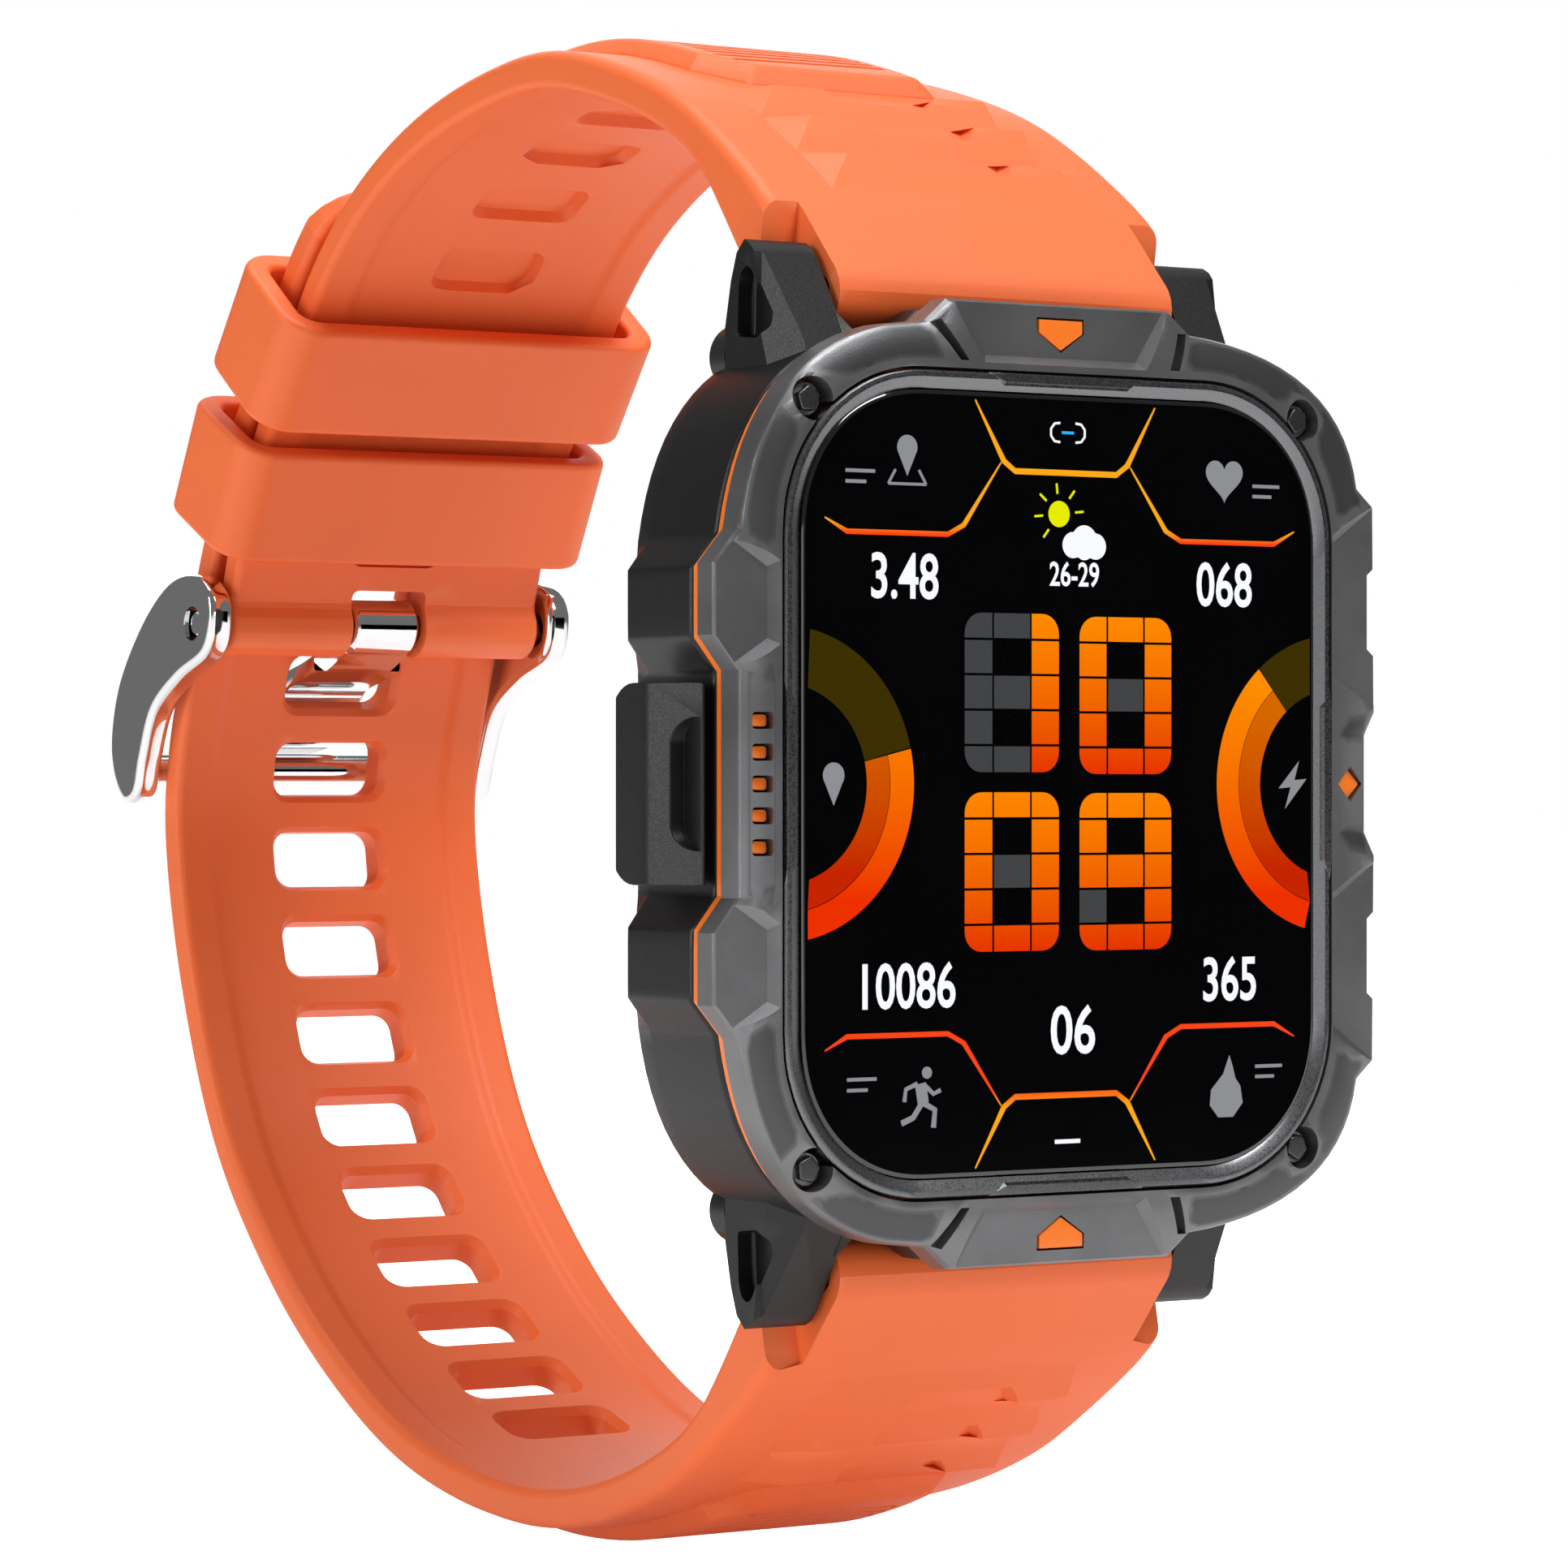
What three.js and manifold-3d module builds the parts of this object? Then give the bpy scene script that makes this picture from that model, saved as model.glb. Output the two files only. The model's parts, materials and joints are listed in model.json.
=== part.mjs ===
// A GPS running watch with a buckled two-part strap, as separate pieces that a bench worker could take apart.
// Inside this file Y = 0 is the front plane of the glass and Y grows towards the wrist. +X is the crown side
// and +Z is twelve o'clock. The last group moves everything so that the origin is on the wrist face.
import * as THREE from 'three';
import { mergeVertices } from 'three/addons/utils/BufferGeometryUtils.js';
import Module from 'manifold-3d';

const wasm = await Module();
wasm.setup();

// ---------------------------------------------------------------- driving dimensions, in millimetres
const CASE_THICKNESS = 13.4;
const TOP_Z = 27.4; // half height of the bezel
const BUMP_X = 23.65; // half width over the side bumps
const GLASS = { x: 18.26, z: 22.2, r: 8.2 };
const RIM = { x: 19.4, z: 23.3, r: 9.3 };
const CAVITY = { x: 18.9, z: 22.4, r: 8.0 };
const FIT = 0.3; // gap left between neighbouring pieces

const BEZEL = { front: 0.1, seat: 1.9, back: 2.4 };
const RING = { front: 2.5, back: 3.3 };
const CASE = { front: 3.4, back: 10.5 };
const COVER = { x: 20.4, z: 26.2, r: 8.5, front: 10.8, back: 12.6 };
const WINDOW_RADIUS = 10.0;
const BEZEL_SCREW = { x: 17.4, z: 21.38, head: 1.0, shank: 0.6 };
const BACK_SCREW = { x: 14.4, z: 24.4, head: 1.1, shank: 0.6 };
const CHARGING_PIN = { x: 2.6, z: -17.0, r: 1.1 };

const CROWN = { y: 6.2, z: 10.2, r: 3.4, inner: 22.3, outer: 24.4, stem: 0.8 };
const BUTTON = { y: 5.9, z: -10.2, half: 2.9, depth: 1.9, inner: 22.3, outer: 24.0 };

const LUG = { inner: 12.3, outer: 16.5 };
const SPRING_BAR = { y: 7.7, z: 28.0, r: 0.75 };
const STRAP = {
  shoulder: 14.2, waist: 12.0, waistY: 44.0, shoulderY: 10.9, barrel: 11.9, thick: 2.4, root: 4.2,
};
const HOLE = {
  half: 4.1, height: 1.95, flare: 0.55, flareDepth: 0.8, pitch: 6.4, below: 10, above: 4, fromTip: 38.1,
};
const PIN = { y: 79.2, z: 10.8, r: 0.9, half: 13.7 };
const BAR = { y: 89.35, z: 0.95, r: 1.15 };
const ARM = { inner: 12.4, outer: 14.2 };
const TONGUE = { half: 3.4, ring: 2.5, thick: 1.2 };
const KEEPER = { width: 8.0, x: 14.4, wall: 1.6, room: 0.75 };

// ---------------------------------------------------------------- solids
function solidOf(geometry) {
  const bare = new THREE.BufferGeometry();
  bare.setAttribute('position', geometry.getAttribute('position'));
  bare.setIndex(geometry.getIndex());
  const merged = mergeVertices(bare, 1e-5);
  return new wasm.Manifold(new wasm.Mesh({
    numProp: 3,
    vertProperties: new Float32Array(merged.getAttribute('position').array),
    triVerts: new Uint32Array(merged.getIndex().array),
  }));
}

function geometryOf(solid) {
  const mesh = solid.getMesh();
  const geometry = new THREE.BufferGeometry();
  geometry.setAttribute('position', new THREE.BufferAttribute(mesh.vertProperties, 3));
  geometry.setIndex(new THREE.BufferAttribute(mesh.triVerts, 1));
  geometry.computeVertexNormals();
  return geometry;
}

const join = (first, ...others) => others.reduce((sum, one) => sum.add(one), first);
const cut = (first, ...tools) => tools.reduce((rest, tool) => rest.subtract(tool), first);

function extrude(shape, depth, matrix, steps = 3) {
  const geometry = new THREE.ExtrudeGeometry(shape, { depth, bevelEnabled: false, curveSegments: steps });
  return solidOf(geometry.applyMatrix4(matrix));
}

// A flat piece drawn as seen from the front, between two depths.
function plate(shape, front, back, steps) {
  const matrix = new THREE.Matrix4().makeRotationX(Math.PI / 2).setPosition(0, back, 0);
  return extrude(shape, back - front, matrix, steps);
}

// A piece drawn in the side view (Y to the right, Z up), between two X positions.
function sidePlate(shape, from, to, steps) {
  const axes = [new THREE.Vector3(0, 1, 0), new THREE.Vector3(0, 0, 1), new THREE.Vector3(1, 0, 0)];
  const matrix = new THREE.Matrix4().makeBasis(...axes).setPosition(from, 0, 0);
  return extrude(shape, to - from, matrix, steps);
}

function box(x0, x1, y0, y1, z0, z1) {
  const geometry = new THREE.BoxGeometry(x1 - x0, y1 - y0, z1 - z0);
  return solidOf(geometry.translate((x0 + x1) / 2, (y0 + y1) / 2, (z0 + z1) / 2));
}

// ---------------------------------------------------------------- outlines
// A box between corners given in any order.
function span(xA, xB, yA, yB, zA, zB) {
  const inOrder = (a, b) => [Math.min(a, b), Math.max(a, b)];
  return box(...inOrder(xA, xB), ...inOrder(yA, yB), ...inOrder(zA, zB));
}

const point = (x, y) => new THREE.Vector2(x, y);
const polygon = (pairs) => new THREE.Shape(pairs.map(([x, y]) => point(x, y)));

function roundedRect(halfX, halfZ, radius, x = 0, z = 0) {
  const shape = new THREE.Shape();
  shape.absarc(x + halfX - radius, z + halfZ - radius, radius, 0, Math.PI / 2);
  shape.absarc(x - halfX + radius, z + halfZ - radius, radius, Math.PI / 2, Math.PI);
  shape.absarc(x - halfX + radius, z - halfZ + radius, radius, Math.PI, 1.5 * Math.PI);
  shape.absarc(x + halfX - radius, z - halfZ + radius, radius, 1.5 * Math.PI, 2 * Math.PI);
  shape.closePath();
  return shape;
}

const rounded = (size, grow = 0) => roundedRect(size.x + grow, size.z + grow, size.r + grow);

function circle(radius, x = 0, z = 0, sides = 16) {
  const corners = [];
  for (let i = 0; i < sides; i += 1) {
    const angle = (2 * Math.PI * i) / sides;
    corners.push([x + radius * Math.cos(angle), z + radius * Math.sin(angle)]);
  }
  return polygon(corners);
}

const disc = (radius, x, z, front, back, sides) => plate(circle(radius, x, z, sides), front, back);
const rod = (radius, y, z, from, to, sides) => sidePlate(circle(radius, y, z, sides), from, to);

// The case seen from the front: flats at twelve and six, soft corners, and bumps at the sides.
function caseOutline(inset) {
  const half = [
    [-22.1, 6.3], [-BUMP_X, 8.2], [-BUMP_X, 12.2], [-22.0, 14.1],
    ...corner([-22.0, 14.1], [-20.6, 23.9], [-12.5, 25.75]),
    [-9.4, 26.1], [-7.9, TOP_Z], [7.9, TOP_Z], [9.4, 26.1],
    ...corner([9.4, 26.1], [20.9, 25.0], [22.0, 17.6]),
    [23.3, 16.5], [23.4, 4.3], [22.6, 2.9],
  ];
  const scaleX = (BUMP_X - inset) / BUMP_X;
  const scaleZ = (TOP_Z - inset) / TOP_Z;
  const upper = half.map(([x, z]) => [x * scaleX, z * scaleZ]);
  const lower = upper.map(([x, z]) => [x, -z]).reverse();
  return polygon([...upper, ...lower]);
}

function corner(from, control, to) {
  const curve = new THREE.QuadraticBezierCurve(point(...from), point(...control), point(...to));
  return curve.getPoints(6).slice(1).map((p) => [p.x, p.y]);
}

// ---------------------------------------------------------------- parts list
const watch = new THREE.Group();

const FINISH = {
  gunmetal: { color: 0x5b5d61, roughness: 0.42, metalness: 0.85 },
  silver: { color: 0xc9cbce, roughness: 0.22, metalness: 1.0 },
  chrome: { color: 0xd8d8da, roughness: 0.1, metalness: 1.0 },
  black: { color: 0x17181a, roughness: 0.5, metalness: 0.0 },
  orange: { color: 0xff7a14, roughness: 0.45, metalness: 0.0 },
  strap: { color: 0xf26b3a, roughness: 0.55, metalness: 0.0 },
  glass: { color: 0x0b0c0e, roughness: 0.05, metalness: 0.0 },
  panel: { color: 0x060607, roughness: 0.3, metalness: 0.0 },
  board: { color: 0x1d4a2c, roughness: 0.6, metalness: 0.0 },
  cell: { color: 0x8d9196, roughness: 0.4, metalness: 0.3 },
  rubber: { color: 0x202020, roughness: 0.8, metalness: 0.0 },
  gold: { color: 0xd8b25a, roughness: 0.25, metalness: 1.0 },
};

function add(name, solid, finish) {
  const mesh = new THREE.Mesh(geometryOf(solid), new THREE.MeshStandardMaterial(FINISH[finish]));
  mesh.name = name;
  watch.add(mesh);
}

const corners = [[-1, 1], [1, 1], [1, -1], [-1, -1]];

// ---------------------------------------------------------------- bezel, glass and screws
// Orange inlays: the accent ring's bosses fill windows of the same outline in the bezel.
function inlays(grow) {
  const shapes = [1, -1].map((side) => {
    const half = 1.55 + grow;
    const z = (value) => side * value;
    return polygon([
      [-half, z(26.5 + grow)], [-half, z(25.75)], [0, z(24.75 - grow)],
      [half, z(25.75)], [half, z(26.5 + grow)],
    ]);
  });
  const diamond = 0.95 + grow;
  shapes.push(polygon([[21.1 - diamond, 0], [21.1, diamond], [21.1 + diamond, 0], [21.1, -diamond]]));
  for (let i = -2; i <= 2; i += 1) {
    shapes.push(roundedRect(0.5 + grow, 0.35 + grow, 0.2 + grow, -20.75, i * 1.75));
  }
  return shapes;
}

// A shallow dip in the edge beside the crown or the button.
function dip(fromX, z, half) {
  const outline = [[fromX, z - half], [fromX, z + half], [26, z + half + 2.6], [26, z - half - 2.6]];
  return plate(polygon(outline), -1, 5);
}

function bezel() {
  const chamfer = 0.6;
  const width = 1.3;
  const geometry = new THREE.ExtrudeGeometry(caseOutline(0), {
    depth: 3, bevelThickness: chamfer, bevelSize: width, bevelOffset: -width, bevelSegments: 1,
  });
  geometry.rotateX(Math.PI / 2).translate(0, BEZEL.front + chamfer + 3, 0);
  const trim = box(-30, 30, BEZEL.back, 9, -30, 30);
  const facets = [];
  for (const side of [1, -1]) {
    const z = (value) => side * value;
    facets.push([[-20.0, z(12.0)], [-20.0, z(8.0)], [-24.5, z(5.6)], [-24.5, z(14.4)]]);
    facets.push([[19.95, z(14.6)], [19.95, z(6.5)], [24.5, z(3.7)], [24.5, z(17.0)]]);
    facets.push([[-5.4, z(24.2)], [5.4, z(24.2)], [7.9, z(28)], [-7.9, z(28)]]);
  }
  const recesses = facets.map((outline) => plate(polygon(outline), -1, BEZEL.front + 0.45));
  const slots = [];
  for (const side of [1, -1]) {
    slots.push(polygon([[-8.5, side * 26.2], [-9.2, side * 26.0], [-7.4, side * 23.9], [-6.8, side * 23.9]]));
    slots.push(polygon([[8.3, side * 26.1], [9.0, side * 26.1], [8.2, side * 23.9], [7.5, side * 23.9]]));
  }
  return cut(
    solidOf(geometry),
    trim,
    plate(rounded(RIM, FIT), -1, BEZEL.seat, 3),
    plate(rounded(GLASS, -0.8), -1, 5, 3),
    ...recesses,
    ...slots.map((shape) => plate(shape, -1, 1.2)),
    ...inlays(0.15).map((shape) => plate(shape, -1, 5)),
    ...corners.map(([x, z]) => disc(BEZEL_SCREW.head + 0.2, x * BEZEL_SCREW.x, z * BEZEL_SCREW.z, -1, 5)),
    dip(22.75, CROWN.z, 2.2),
    dip(22.75, BUTTON.z, 2.2),
  );
}
add('bezel', bezel(), 'gunmetal');

const ringShape = rounded(RIM);
ringShape.holes.push(rounded(GLASS, 0.2));
add('display_trim_ring', plate(ringShape, 0, 1.7, 3), 'silver');
add('crystal', plate(rounded(GLASS), 0.15, 1.5, 3), 'glass');
add('display_panel', plate(rounded(GLASS, -1.4), 2.1, 3.4, 3), 'panel');

function accentRing() {
  const bosses = inlays(0).map((shape) => plate(shape, 0.75, RING.front + 0.2));
  return cut(
    join(plate(caseOutline(0.7), RING.front, RING.back), ...bosses),
    plate(rounded(GLASS, -0.8), 0, 5, 3),
    ...corners.map(([x, z]) => disc(0.85, x * BEZEL_SCREW.x, z * BEZEL_SCREW.z, 0, 5)),
    box(21.2, 26, 0, 5, CROWN.z - 2.6, CROWN.z + 2.6),
  );
}
add('accent_ring', accentRing(), 'orange');

corners.forEach(([x, z], index) => {
  const [cx, cz] = [x * BEZEL_SCREW.x, z * BEZEL_SCREW.z];
  const screw = join(
    disc(0.8, cx, cz, 0.65, 1.0, 5),
    disc(BEZEL_SCREW.head, cx, cz, 1.0, 2.2),
    disc(BEZEL_SCREW.shank, cx, cz, 2.1, 6.4, 12),
  );
  add(`bezel_screw_${index + 1}`, screw, 'gunmetal');
});

// ---------------------------------------------------------------- middle case
function lug(sideX, sideZ) {
  const outline = [
    [3.6, 22.6], [3.9, 24.4], [6.2, 30.1], [8.2, 31.0], [9.6, 29.3], [10.5, 26.6], [10.5, 22.6],
  ].map(([y, z]) => [y, z * sideZ]);
  const pocket = [[9.3, 25.4], [9.1, 28.5], [7.4, 29.4], [6.7, 29.2], [5.6, 26.6], [7.0, 25.2]]
    .map(([y, z]) => [y, z * sideZ]);
  const [from, to] = sideX > 0 ? [LUG.inner, LUG.outer] : [-LUG.outer, -LUG.inner];
  const face = sideX * LUG.outer;
  return cut(
    sidePlate(polygon(outline), from, to),
    sidePlate(polygon(pocket), face - 0.6, face + 0.6),
  );
}

function middleCase() {
  const shell = join(
    plate(caseOutline(0.35), CASE.front, 9.6),
    plate(caseOutline(1.2), 9.5, CASE.back),
    ...corners.map(([x, z]) => lug(x, z)),
  );
  const barHole = (z) => rod(SPRING_BAR.r + 0.25, SPRING_BAR.y, z, -14.6, 14.6, 14);
  const strapRecess = (side) => join(
    rod(2.6, SPRING_BAR.y, side * SPRING_BAR.z, -LUG.inner, LUG.inner, 24),
    span(-LUG.inner, LUG.inner, SPRING_BAR.y, 20, side * 25.6, side * 40),
  );
  return cut(
    shell,
    plate(rounded(CAVITY), 0, 20, 3),
    ...corners.map(([x, z]) => disc(0.85, x * BEZEL_SCREW.x, z * BEZEL_SCREW.z, 0, 6.8, 12)),
    ...corners.map(([x, z]) => disc(0.85, x * BACK_SCREW.x, z * BACK_SCREW.z, 7.6, 20, 12)),
    barHole(SPRING_BAR.z),
    barHole(-SPRING_BAR.z),
    strapRecess(1),
    strapRecess(-1),
    rod(CROWN.r + 0.4, CROWN.y, CROWN.z, 21.1, 26, 28),
    rod(CROWN.stem + 0.3, CROWN.y, CROWN.z, 15, 26, 16),
    rod(2.1, CROWN.y, CROWN.z, 15, 20.2, 20),
    sidePlate(roundedRect(BUTTON.depth + 0.3, BUTTON.half + 0.3, 1.5, BUTTON.y, BUTTON.z), 21.3, 26),
    rod(1.1, BUTTON.y, BUTTON.z, 15, 26, 16),
    box(-26, -22.15, 3, 20, -6.1, 6.1),
  );
}
add('middle_case', middleCase(), 'black');

function sideGuard() {
  const outline = [[-22.4, 3.6], [-24.3, 6.9], [-24.3, 9.8], [-23.9, 10.3], [-22.4, 10.3]];
  const block = extrude(polygon(outline), 11.2, new THREE.Matrix4().makeTranslation(0, 0, -5.6));
  const recess = box(-26, -22.9, 2, 5.3, -3.7, 3.7);
  const corner = (side) => span(-26, -20, 8.8, 12, side * 4.6, side * 8);
  return cut(block, recess, corner(1), corner(-1));
}
add('side_guard', sideGuard(), 'black');

// ---------------------------------------------------------------- back cover and wrist face
function backCover() {
  return cut(
    plate(rounded(COVER), COVER.front, COVER.back, 3),
    disc(WINDOW_RADIUS + FIT, 0, 0, 0, 20, 40),
    plate(gasketShape(0.2), 10, COVER.front + 0.9, 3),
    ...[1, -1].map((side) => disc(CHARGING_PIN.r + 0.3, side * CHARGING_PIN.x, CHARGING_PIN.z, 0, 20)),
    ...corners.map(([x, z]) => disc(0.85, x * BACK_SCREW.x, z * BACK_SCREW.z, 0, 20, 12)),
    ...corners.map(([x, z]) => disc(BACK_SCREW.head + 0.2, x * BACK_SCREW.x, z * BACK_SCREW.z, 11.7, 20)),
  );
}

function gasketShape(grow) {
  const shape = roundedRect(20.0 + grow, 23.0 + grow, 8.6 + grow);
  shape.holes.push(roundedRect(19.4 - grow, 22.4 - grow, 8.0 - grow));
  return shape;
}
add('back_cover', backCover(), 'black');
add('back_gasket', plate(gasketShape(0), 10.65, 11.5, 3), 'rubber');

function sensorWindow() {
  const profile = [
    [0, 11.3], [WINDOW_RADIUS, 11.3], [WINDOW_RADIUS, 12.8], [9.2, 13.2],
    [7.6, CASE_THICKNESS], [0, CASE_THICKNESS],
  ];
  const points = profile.map(([r, y]) => point(r, y));
  return solidOf(new THREE.LatheGeometry(points, 40));
}
add('sensor_window', sensorWindow(), 'glass');

[-1, 1].forEach((side, index) => {
  const pin = disc(CHARGING_PIN.r, side * CHARGING_PIN.x, CHARGING_PIN.z, 11.2, COVER.back + 0.1);
  add(`charging_pin_${index + 1}`, pin, 'gold');
});

corners.forEach(([x, z], index) => {
  const [cx, cz] = [x * BACK_SCREW.x, z * BACK_SCREW.z];
  const slot = box(cx - 0.9, cx + 0.9, 12.3, 13, cz - 0.15, cz + 0.15);
  const screw = cut(
    join(disc(BACK_SCREW.head, cx, cz, 11.75, 12.55), disc(BACK_SCREW.shank, cx, cz, 7.9, 11.9, 12)),
    slot,
  );
  add(`back_screw_${index + 1}`, screw, 'silver');
});

// ---------------------------------------------------------------- electronics
function innerFrame() {
  const wall = roundedRect(16.9, 20.4, 6.4);
  wall.holes.push(roundedRect(15.7, 19.2, 5.2));
  return cut(
    join(plate(wall, 5.0, 9.2), plate(roundedRect(16.9, 20.4, 6.4), 5.6, 6.1)),
    box(12.4, 20, 4, 10, CROWN.z - 2.4, CROWN.z + 2.4),
    box(12.4, 20, 4, 10, BUTTON.z - 2.4, BUTTON.z + 2.4),
  );
}
add('inner_frame', innerFrame(), 'silver');

const antenna = roundedRect(18.5, 22.0, 7.6);
antenna.holes.push(roundedRect(17.3, 20.8, 6.4));
add('gps_antenna', plate(antenna, 3.7, 4.2, 3), 'gold');

const board = join(
  plate(roundedRect(12.0, 17.6, 3), 4.6, 5.3),
  box(-6, 2, 3.8, 4.7, -4, 4),
  box(4, 9, 3.9, 4.7, -12, -6),
  box(-9, -5, 3.9, 4.7, 8, 14),
);
add('main_board', board, 'board');
add('battery', plate(roundedRect(11.6, 10.6, 1.5, 0, -7.6), 6.4, 9.1), 'cell');
add('vibration_motor', disc(4.4, -6.2, 9.6, 6.4, 9.0, 24), 'silver');
add('buzzer', disc(3.4, 4.6, 9.4, 6.4, 8.6, 24), 'black');
const sensorBoard = join(
  disc(9.0, 0, 0, 9.5, 10.1, 32),
  box(-1.4, 1.4, 10.0, 10.9, -1.4, 1.4),
  box(-5.2, -3.6, 10.0, 10.7, -1.2, 1.2),
  box(3.6, 5.2, 10.0, 10.7, -1.2, 1.2),
);
add('sensor_board', sensorBoard, 'board');

// ---------------------------------------------------------------- crown and button
function lathedOnX(profile, y, z, sides) {
  const geometry = new THREE.LatheGeometry(profile.map(([r, x]) => point(r, x)), sides);
  return solidOf(geometry.rotateZ(-Math.PI / 2).translate(0, y, z));
}

function crownKnob() {
  const { r, inner, outer, stem } = CROWN;
  const profile = [
    [0, 17.0], [stem, 17.0], [stem, inner], [r - 0.3, inner], [r, inner + 0.3],
    [r, outer - 0.5], [r - 0.5, outer], [0, outer],
  ];
  const grooves = [];
  for (let i = 0; i < 18; i += 1) {
    const angle = (2 * Math.PI * i) / 18;
    const tooth = new THREE.BoxGeometry(1.3, 0.5, 0.45);
    tooth.translate(inner + 1.05, r, 0).rotateX(angle).translate(0, CROWN.y, CROWN.z);
    grooves.push(solidOf(tooth));
  }
  return cut(lathedOnX(profile, CROWN.y, CROWN.z, 36), ...grooves);
}
add('crown_knob', crownKnob(), 'gunmetal');
add('crown_slider', rod(1.5, CROWN.y, CROWN.z, 15.5, 16.7, 16), 'silver');
const gasketRing = circle(1.8, CROWN.y, CROWN.z, 16);
gasketRing.holes.push(circle(1.05, CROWN.y, CROWN.z, 16));
add('crown_gasket', sidePlate(gasketRing, 19.1, 19.9), 'rubber');
add('crown_switch', box(12.8, 14.3, CROWN.y - 0.3, CROWN.y + 2.4, CROWN.z - 1.8, CROWN.z + 1.8), 'black');

const buttonCap = join(
  sidePlate(roundedRect(BUTTON.depth, BUTTON.half, 1.2, BUTTON.y, BUTTON.z), BUTTON.inner, BUTTON.outer),
  rod(0.8, BUTTON.y, BUTTON.z, 15.4, BUTTON.inner + 0.2, 16),
);
add('button_cap', buttonCap, 'gunmetal');
const buttonSwitch = box(12.8, 14.4, BUTTON.y - 1.3, BUTTON.y + 1.3, BUTTON.z - 1.8, BUTTON.z + 1.8);
add('button_switch', buttonSwitch, 'black');

// ---------------------------------------------------------------- strap
// Centre lines in the side view, as [Y, Z], from the spring bar to the free end.
const upperRoute = [
  [SPRING_BAR.y, SPRING_BAR.z], [13.2, 33.8], [18.4, 38.0], [25.6, 41.2], [38.5, 43.9], [51.5, 42.1],
  [60.7, 38.0], [66.5, 33.1], [70.0, 28.4], [73.5, 23.7], [76.3, 19.0], [PIN.y, PIN.z],
];
const lowerRoute = [
  [SPRING_BAR.y, -SPRING_BAR.z], [13.0, -34.0], [20.1, -39.5], [31.9, -43.7], [43.3, -44.6], [55.5, -42.4],
  [66.2, -37.0], [73.5, -31.2], [79.8, -23.8], [84.6, -12.9], [86.7, -2.9], [86.2, 2.0], [84.5, 7.5],
  [81.6, 15.0], [78.3, 21.8], [72.1, 30.4], [67.6, 36.3], [64.4, 38.9],
];
const route = (pairs) => new THREE.CatmullRomCurve3(pairs.map(([y, z]) => new THREE.Vector3(0, y, z)));
const upperPath = route(upperRoute);
const lowerPath = route(lowerRoute);

// The strap's local frame at a length along it: position, tangent, and the direction away from the wrist.
function station(path, length, side) {
  const u = length / path.getLength();
  const tangent = path.getTangentAt(u);
  const away = new THREE.Vector3(0, -tangent.z, tangent.y).multiplyScalar(side);
  return { at: path.getPointAt(u), tangent, away };
}

function thickness(length, total, tip) {
  const root = THREE.MathUtils.smoothstep(length, 4, 15);
  const rise = STRAP.root + (STRAP.thick - STRAP.root) * root;
  return tip ? Math.min(rise, 0.9 + (total - length) * 0.4) : rise;
}

function band(path, side, steps, tip) {
  const total = path.getLength();
  const outer = [];
  const inner = [];
  for (let i = 0; i <= steps; i += 1) {
    const length = (total * i) / steps;
    const { at, away } = station(path, length, side);
    const half = thickness(length, total, tip) / 2;
    outer.push([at.y + away.y * half, at.z + away.z * half]);
    inner.push([at.y - away.y * half, at.z - away.z * half]);
  }
  return sidePlate(polygon([...outer, ...inner.reverse()]), -STRAP.shoulder, STRAP.shoulder);
}

// Everything outside the tapering width of a strap, and beside its narrow end between the lugs.
function sideWaste(sideX) {
  const { shoulder, waist, waistY, shoulderY, barrel } = STRAP;
  const outline = [
    [barrel, -5], [barrel, shoulderY], [shoulder, shoulderY + 0.5],
    [waist, waistY], [waist, 100], [20, 100], [20, -5],
  ];
  const shape = polygon(outline.map(([x, y]) => [x * sideX, y]));
  return extrude(shape, 120, new THREE.Matrix4().makeTranslation(0, 0, -60));
}

// A slot-shaped cutter across a strap, between two distances from its centre line towards the outside.
function slotAt(path, length, side, halfX, halfLength, from, to) {
  const { at, tangent, away } = station(path, length, side);
  const across = new THREE.Vector3().crossVectors(tangent, away);
  const matrix = new THREE.Matrix4().makeBasis(across, tangent, away).setPosition(at);
  const shape = roundedRect(halfX, halfLength, 1.2);
  const start = new THREE.Matrix4().makeTranslation(0, 0, from);
  return extrude(shape, to - from, matrix.multiply(start), 1);
}

function strapUpper() {
  const body = join(
    band(upperPath, 1, 46, false),
    rod(2.1, SPRING_BAR.y, SPRING_BAR.z, -STRAP.barrel, STRAP.barrel),
    rod(2.1, PIN.y, PIN.z, -STRAP.waist, STRAP.waist),
  );
  return cut(
    body,
    sideWaste(1),
    sideWaste(-1),
    rod(SPRING_BAR.r + FIT, SPRING_BAR.y, SPRING_BAR.z, -20, 20, 14),
    rod(PIN.r + FIT, PIN.y, PIN.z, -20, 20, 14),
    box(-TONGUE.ring - 0.4, TONGUE.ring + 0.4, PIN.y - 4, PIN.y + 4, PIN.z - 4, PIN.z + 2.9),
    box(-TONGUE.half - 0.5, TONGUE.half + 0.5, PIN.y + 0.6, PIN.y + 4, PIN.z - 4, PIN.z + 2.9),
  );
}

const tongueHole = lowerPath.getLength() - HOLE.fromTip;

function strapLower() {
  const body = join(
    band(lowerPath, -1, 60, true),
    rod(2.1, SPRING_BAR.y, -SPRING_BAR.z, -STRAP.barrel, STRAP.barrel),
  );
  const holes = [];
  for (let i = -HOLE.below; i <= HOLE.above; i += 1) {
    const length = tongueHole + i * HOLE.pitch;
    const { half, height, flare, flareDepth } = HOLE;
    holes.push(slotAt(lowerPath, length, -1, half, height, -3, 3));
    holes.push(slotAt(lowerPath, length, -1, half + flare, height + flare, -3, flareDepth - STRAP.thick / 2));
  }
  return cut(
    body,
    sideWaste(1),
    sideWaste(-1),
    rod(SPRING_BAR.r + FIT, SPRING_BAR.y, -SPRING_BAR.z, -20, 20, 14),
    ...holes,
  );
}
add('strap_upper', strapUpper(), 'strap');
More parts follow.
